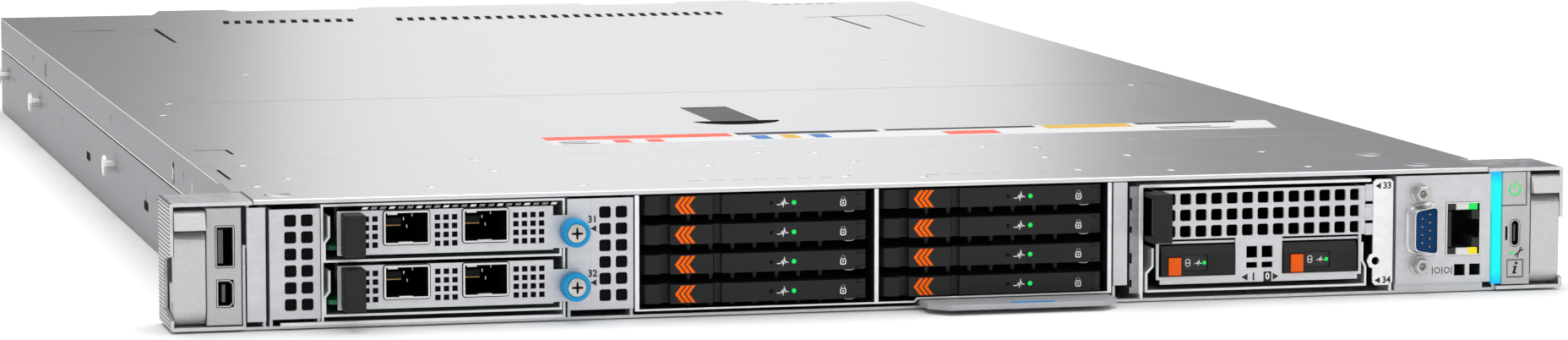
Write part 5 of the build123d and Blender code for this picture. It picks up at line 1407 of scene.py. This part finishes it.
    def softened(self, base: np.ndarray, radius: float, steps: int = 5) -> np.ndarray:
        """An outline with its corners rounded: each corner's two tangent points joined by a quadratic bend."""
        before, after = np.roll(base, 1, 0) - base, np.roll(base, -1, 0) - base
        before = base + before / np.linalg.norm(before, axis=1, keepdims=True) * radius
        after = base + after / np.linalg.norm(after, axis=1, keepdims=True) * radius
        t = np.linspace(0, 1, steps + 1)[None, :, None]
        bend = (1 - t) ** 2 * before[:, None] + 2 * t * (1 - t) * base[:, None] + t**2 * after[:, None]
        return bend.reshape(-1, 2)

    def jack(self, skin: Skin) -> None:
        """The network socket: pale frame, dark stepped opening, and two lamps in its rims."""
        x0, x1, z0, z1 = 198.4, 211.0, 12.6, 31.0
        f = self.front - 0.2
        skin.carried(grown(oblong((x0, x1), (z0, z1)), -0.22), 0.44, (f, self.front + 17.5), finish=0, closed=True)
        # A near-black back wall: painted shade deep in the opening.
        skin.prism(oblong((x0 + 0.3, x1 - 0.3), (z0 + 0.3, z1 - 0.3)), (self.front + 12.0, self.front + 17.5), finish=1)
        for low, high in ((z0 + 0.4, z0 + 2.6), (z1 - 2.6, z1 - 0.4)):
            skin.prism(oblong((x0 + 3.6, x0 + 8.2), (low, high)), (f, self.front + 1.2), finish=5, bevel=0.15)
            skin.prism(oblong((x0 + 3.6, x1 - 1.2), (low, high)), (self.front + 1.3, self.front + 12.0), finish=2)
            skin.prism(oblong((x0 + 0.4, x0 + 3.4), (low, high)), (f + 0.3, self.front + 12.0), finish=2)
        skin.prism(oblong((x0 + 8.4, x1 - 1.2), (z1 - 2.6, z1 - 0.4)), (f, self.front + 1.2), finish=6, bevel=0.15)
        skin.prism(oblong((x0 + 8.4, x1 - 1.2), (z0 + 0.4, z0 + 2.6)), (f, self.front + 1.2), finish=7, bevel=0.15)
        for low, high in ((z0 + 2.8, z0 + 6.0), (z1 - 6.0, z1 - 2.8)):
            skin.prism(oblong((x1 - 3.2, x1 - 0.5), (low, high)), (f + 0.2, self.front + 12.0), finish=2, bevel=0.15)
        skin.prism(oblong((x0 + 0.45, x0 + 2.2), (z0 + 3.0, z1 - 3.0)), (f + 0.6, self.front + 12.0), finish=2, bevel=0.2)
        for k in range(8):
            z = z0 + 5.6 + k * 1.02
            skin.carried([(x0 + 2.3, z), (x0 + 3.2, z)], 0.3, (self.front + 7.0, self.front + 10.0), finish=3)

    def build(self, p: Palette) -> None:
        """Make every connector."""
        finishes = (p.steel, p.hollow_shade_black, p.black, p.gold, p.insert, p.white)
        finishes += (p.green, p.yellow, p.screw, p.tongue, p.case)
        skin = Skin("front_connectors", *finishes)
        self.host(skin, 27.85, (6.2, 13.7), ((-225.3, -223.5), (22.3, 33.4)))
        self.host(skin, 12.5, (5.6, 9.0), ((-224.1, -222.9), (9.6, 15.4)), 1.3)
        self.type_c(skin)
        self.serial(skin)
        self.jack(skin)
        skin.build("chassis", "socket_metal", ("front_sockets",))


@dataclass
class FrontPanels:
    """Port panel, control panel, buttons, lamps and the light bar, with their pictograms."""

    front: float = -28.0

    def build(self, p: Palette) -> None:
        """Finish the panels and print their marks."""
        for node in ("port_panel", "control_panel", "power_button", "info_button"):
            dress(node, p.grey)
        dress("light_bar", p.cyan)
        ink = (self.front - 0.04, self.front + 0.02)
        fixed = Skin("panel_marks", p.ink, p.green, p.hollow_shade_black)
        fixed.strokes([(224.6, 12.4), (225.7, 13.8)], 0.62, ink)
        fixed.strokes(arc((224.25, 11.95), 0.55, 282, 542, 8), 0.36, ink)
        fixed.strokes(arc((226.05, 14.25), 0.55, 102, 362, 8), 0.36, ink)
        lamp = [(0.01, self.front - 0.1), (0.5, self.front - 0.08), (0.62, self.front + 0.02)]
        fixed.turned(lamp, (222.4, 12.9), finish=1, steps=14)
        # A near-black slot: painted shade in the opening.
        fixed.prism(rounded((220.5, 19.8), (0.8, 4.8), 0.39, 3), (self.front - 0.02, self.front + 0.02), finish=2)
        fixed.build("chassis")
        power = Skin("power_symbol", p.green)
        power.carried(arc((223.4, 34.9), 2.0, 130, 410, 18), 0.52, ink)
        power.carried([(223.4, 35.2), (223.4, 37.6)], 0.52, ink)
        power.build("power_button", "grey_panel")
        info = Skin("info_symbol", p.ink)
        info.strokes([(223.4, 6.1), (223.95, 8.1)], 0.85, ink)
        info.strokes([(223.1, 8.05), (223.95, 8.1)], 0.4, ink)
        info.strokes([(223.0, 5.9), (224.2, 5.95)], 0.4, ink)
        dot = [(0.01, self.front - 0.04), (0.52, self.front - 0.04), (0.55, self.front)]
        info.turned(dot, (224.25, 9.35), steps=14)
        info.build("info_button", "grey_panel")
        serial = Skin("serial_symbol", p.ink)
        x = 193.6
        for k, glyph in enumerate("IOIOI"):
            at = x + k * 1.75
            if glyph == "I":
                serial.carried([(at, 6.3), (at, 9.0)], 0.3, ink)
            else:
                serial.carried(disc((at, 7.65), 0.95, 18), 0.3, ink, closed=True)
        serial.build("chassis")


@dataclass
class InfoTag:
    """The pull-out tag: bare grey face with a short blue line."""

    def build(self, p: Palette) -> None:
        """Finish the tag."""
        dress("info_tag", p.tag)
        skin = Skin("tag_stripe", p.stripe)
        skin.prism(rounded((46.9, -41.0), (15.4, 3.0), 0.5, 2), (3.06, 3.14), Facing.TOP)
        skin.build("info_tag", "tag_grey")


@dataclass
class RearEnd:
    """Power supplies with inlets, grilles and pull loops, and the mesh behind the rear openings."""

    rear: float = 748.0
    middle: float = 180.2
    inlet_offset: float = 14.0
    cell: float = 2.5

    def supply(self, p: Palette, number: int, side: int) -> None:
        """Finish one supply and add its rim, lamp, release and two screw heads."""
        node = f"power_supply_{number}"
        base = corner(node)[0][2]
        inlet = side * (self.middle - self.inlet_offset)
        reach = (inlet - 12.9, inlet + 12.9)

        def choose(c: np.ndarray) -> np.ndarray:
            """Case, then black rear face and loop, near-black painted shade in the recesses, and bright pins."""
            pick = np.where(c[:, 1] > self.rear - 0.6, 1, 0)
            # The inlet's recess and the room above it take the near-black: painted shade.
            pick[inside(c, reach, (self.rear - 16, self.rear + 1.9), (base + 3.6, base + 23.4))] = 2
            pick[inside(c, reach, (self.rear - 9, self.rear - 0.02), (base + 26, base + 37))] = 2
            for x, z in ((-7.0, 10.0), (7.0, 10.0), (0.0, 13.6)):
                across, up = (inlet + x - 1.1, inlet + x + 1.1), (base + z - 2.1, base + z + 2.1)
                pick[inside(c, across, (700, self.rear + 1), up)] = 3
            return pick

        dress(node, p.supply, p.satin, p.hollow_shade_black, p.steel, choose=choose)
        skin = Skin(f"supply_details_{number}", p.supply, p.green, p.orange, p.steel, p.pale)
        rim = rounded((side * self.middle, base + 19.4), (59.2, 37.6), 0.8, 3)
        skin.carried(rim, 1.0, (self.rear - 0.05, self.rear + 0.25), closed=True)
        x = side * (self.middle + 2.5)
        lens = [(1.3, self.rear - 0.05), (1.2, self.rear + 0.15), (0.6, self.rear + 0.3), (0.01, self.rear + 0.32)]
        skin.turned(lens, (x, base + 29.0), finish=1, steps=20)
        lever = rounded((x, base + 15.0), (4.2, 12.0), 0.9, 3)
        skin.prism(lever, (self.rear - 0.05, self.rear + 7.5), finish=2, bevel=0.4)
        for k in range(4):
            rib = oblong((x - 1.5, x + 1.5), (base + 11.4 + 2 * k, base + 12.0 + 2 * k))
            skin.prism(rib, (self.rear + 7.4, self.rear + 7.8), finish=2)
        for z in (4.6, 34.2):
            head = [(2.1, self.rear - 0.05), (2.0, self.rear + 0.6), (1.4, self.rear + 0.8), (0.01, self.rear + 0.8)]
            skin.turned(head, (side * (self.middle + 26.6), base + z), finish=3, steps=24)
        skin.build(node, "supply_case")

    def mesh(self, p: Palette) -> None:
        """A fine perforated sheet just inside the rear wall, with holes only where the wall is open, in the half-tone
        zinc: painted shade behind the wall.
        """
        # The mesh takes the half-tone zinc: painted shade.
        skin = Skin("rear_mesh", p.wall)
        u = [-117.5 + self.cell * k for k in range(95)]
        v = [4.5 + self.cell * k for k in range(7)] + [22.5 + self.cell * k for k in range(7)]
        holes = {
            (i, j): rounded((u[i] + self.cell / 2, v[j] + self.cell / 2), (1.9, 1.9), 0.6, 2)
            for i in range(94)
            for j in range(13)
            if i % 8 < 6 and j != 6
        }
        skin.perforated(u, v, holes, (self.rear - 1.7, self.rear - 1.1))
        skin.build("chassis", "zinc_sheet")

    def build(self, p: Palette) -> None:
        """Finish both supplies and hang the mesh."""
        self.supply(p, 1, -1)
        self.supply(p, 2, 1)
        self.mesh(p)


def main() -> None:
    """Build the studio and every sub-assembly in order."""
    logging.basicConfig(level=logging.INFO, format="%(name)s %(message)s")
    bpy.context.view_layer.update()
    palette = Palette()
    Studio().build()
    front = (Housing(), FrontPlates(), NetworkCards(), DriveBay(), BootModule(), Sockets())
    for part in (*front, FrontPanels(), InfoTag(), RearEnd()):
        part.build(palette)


if __name__ == "__main__":
    main()
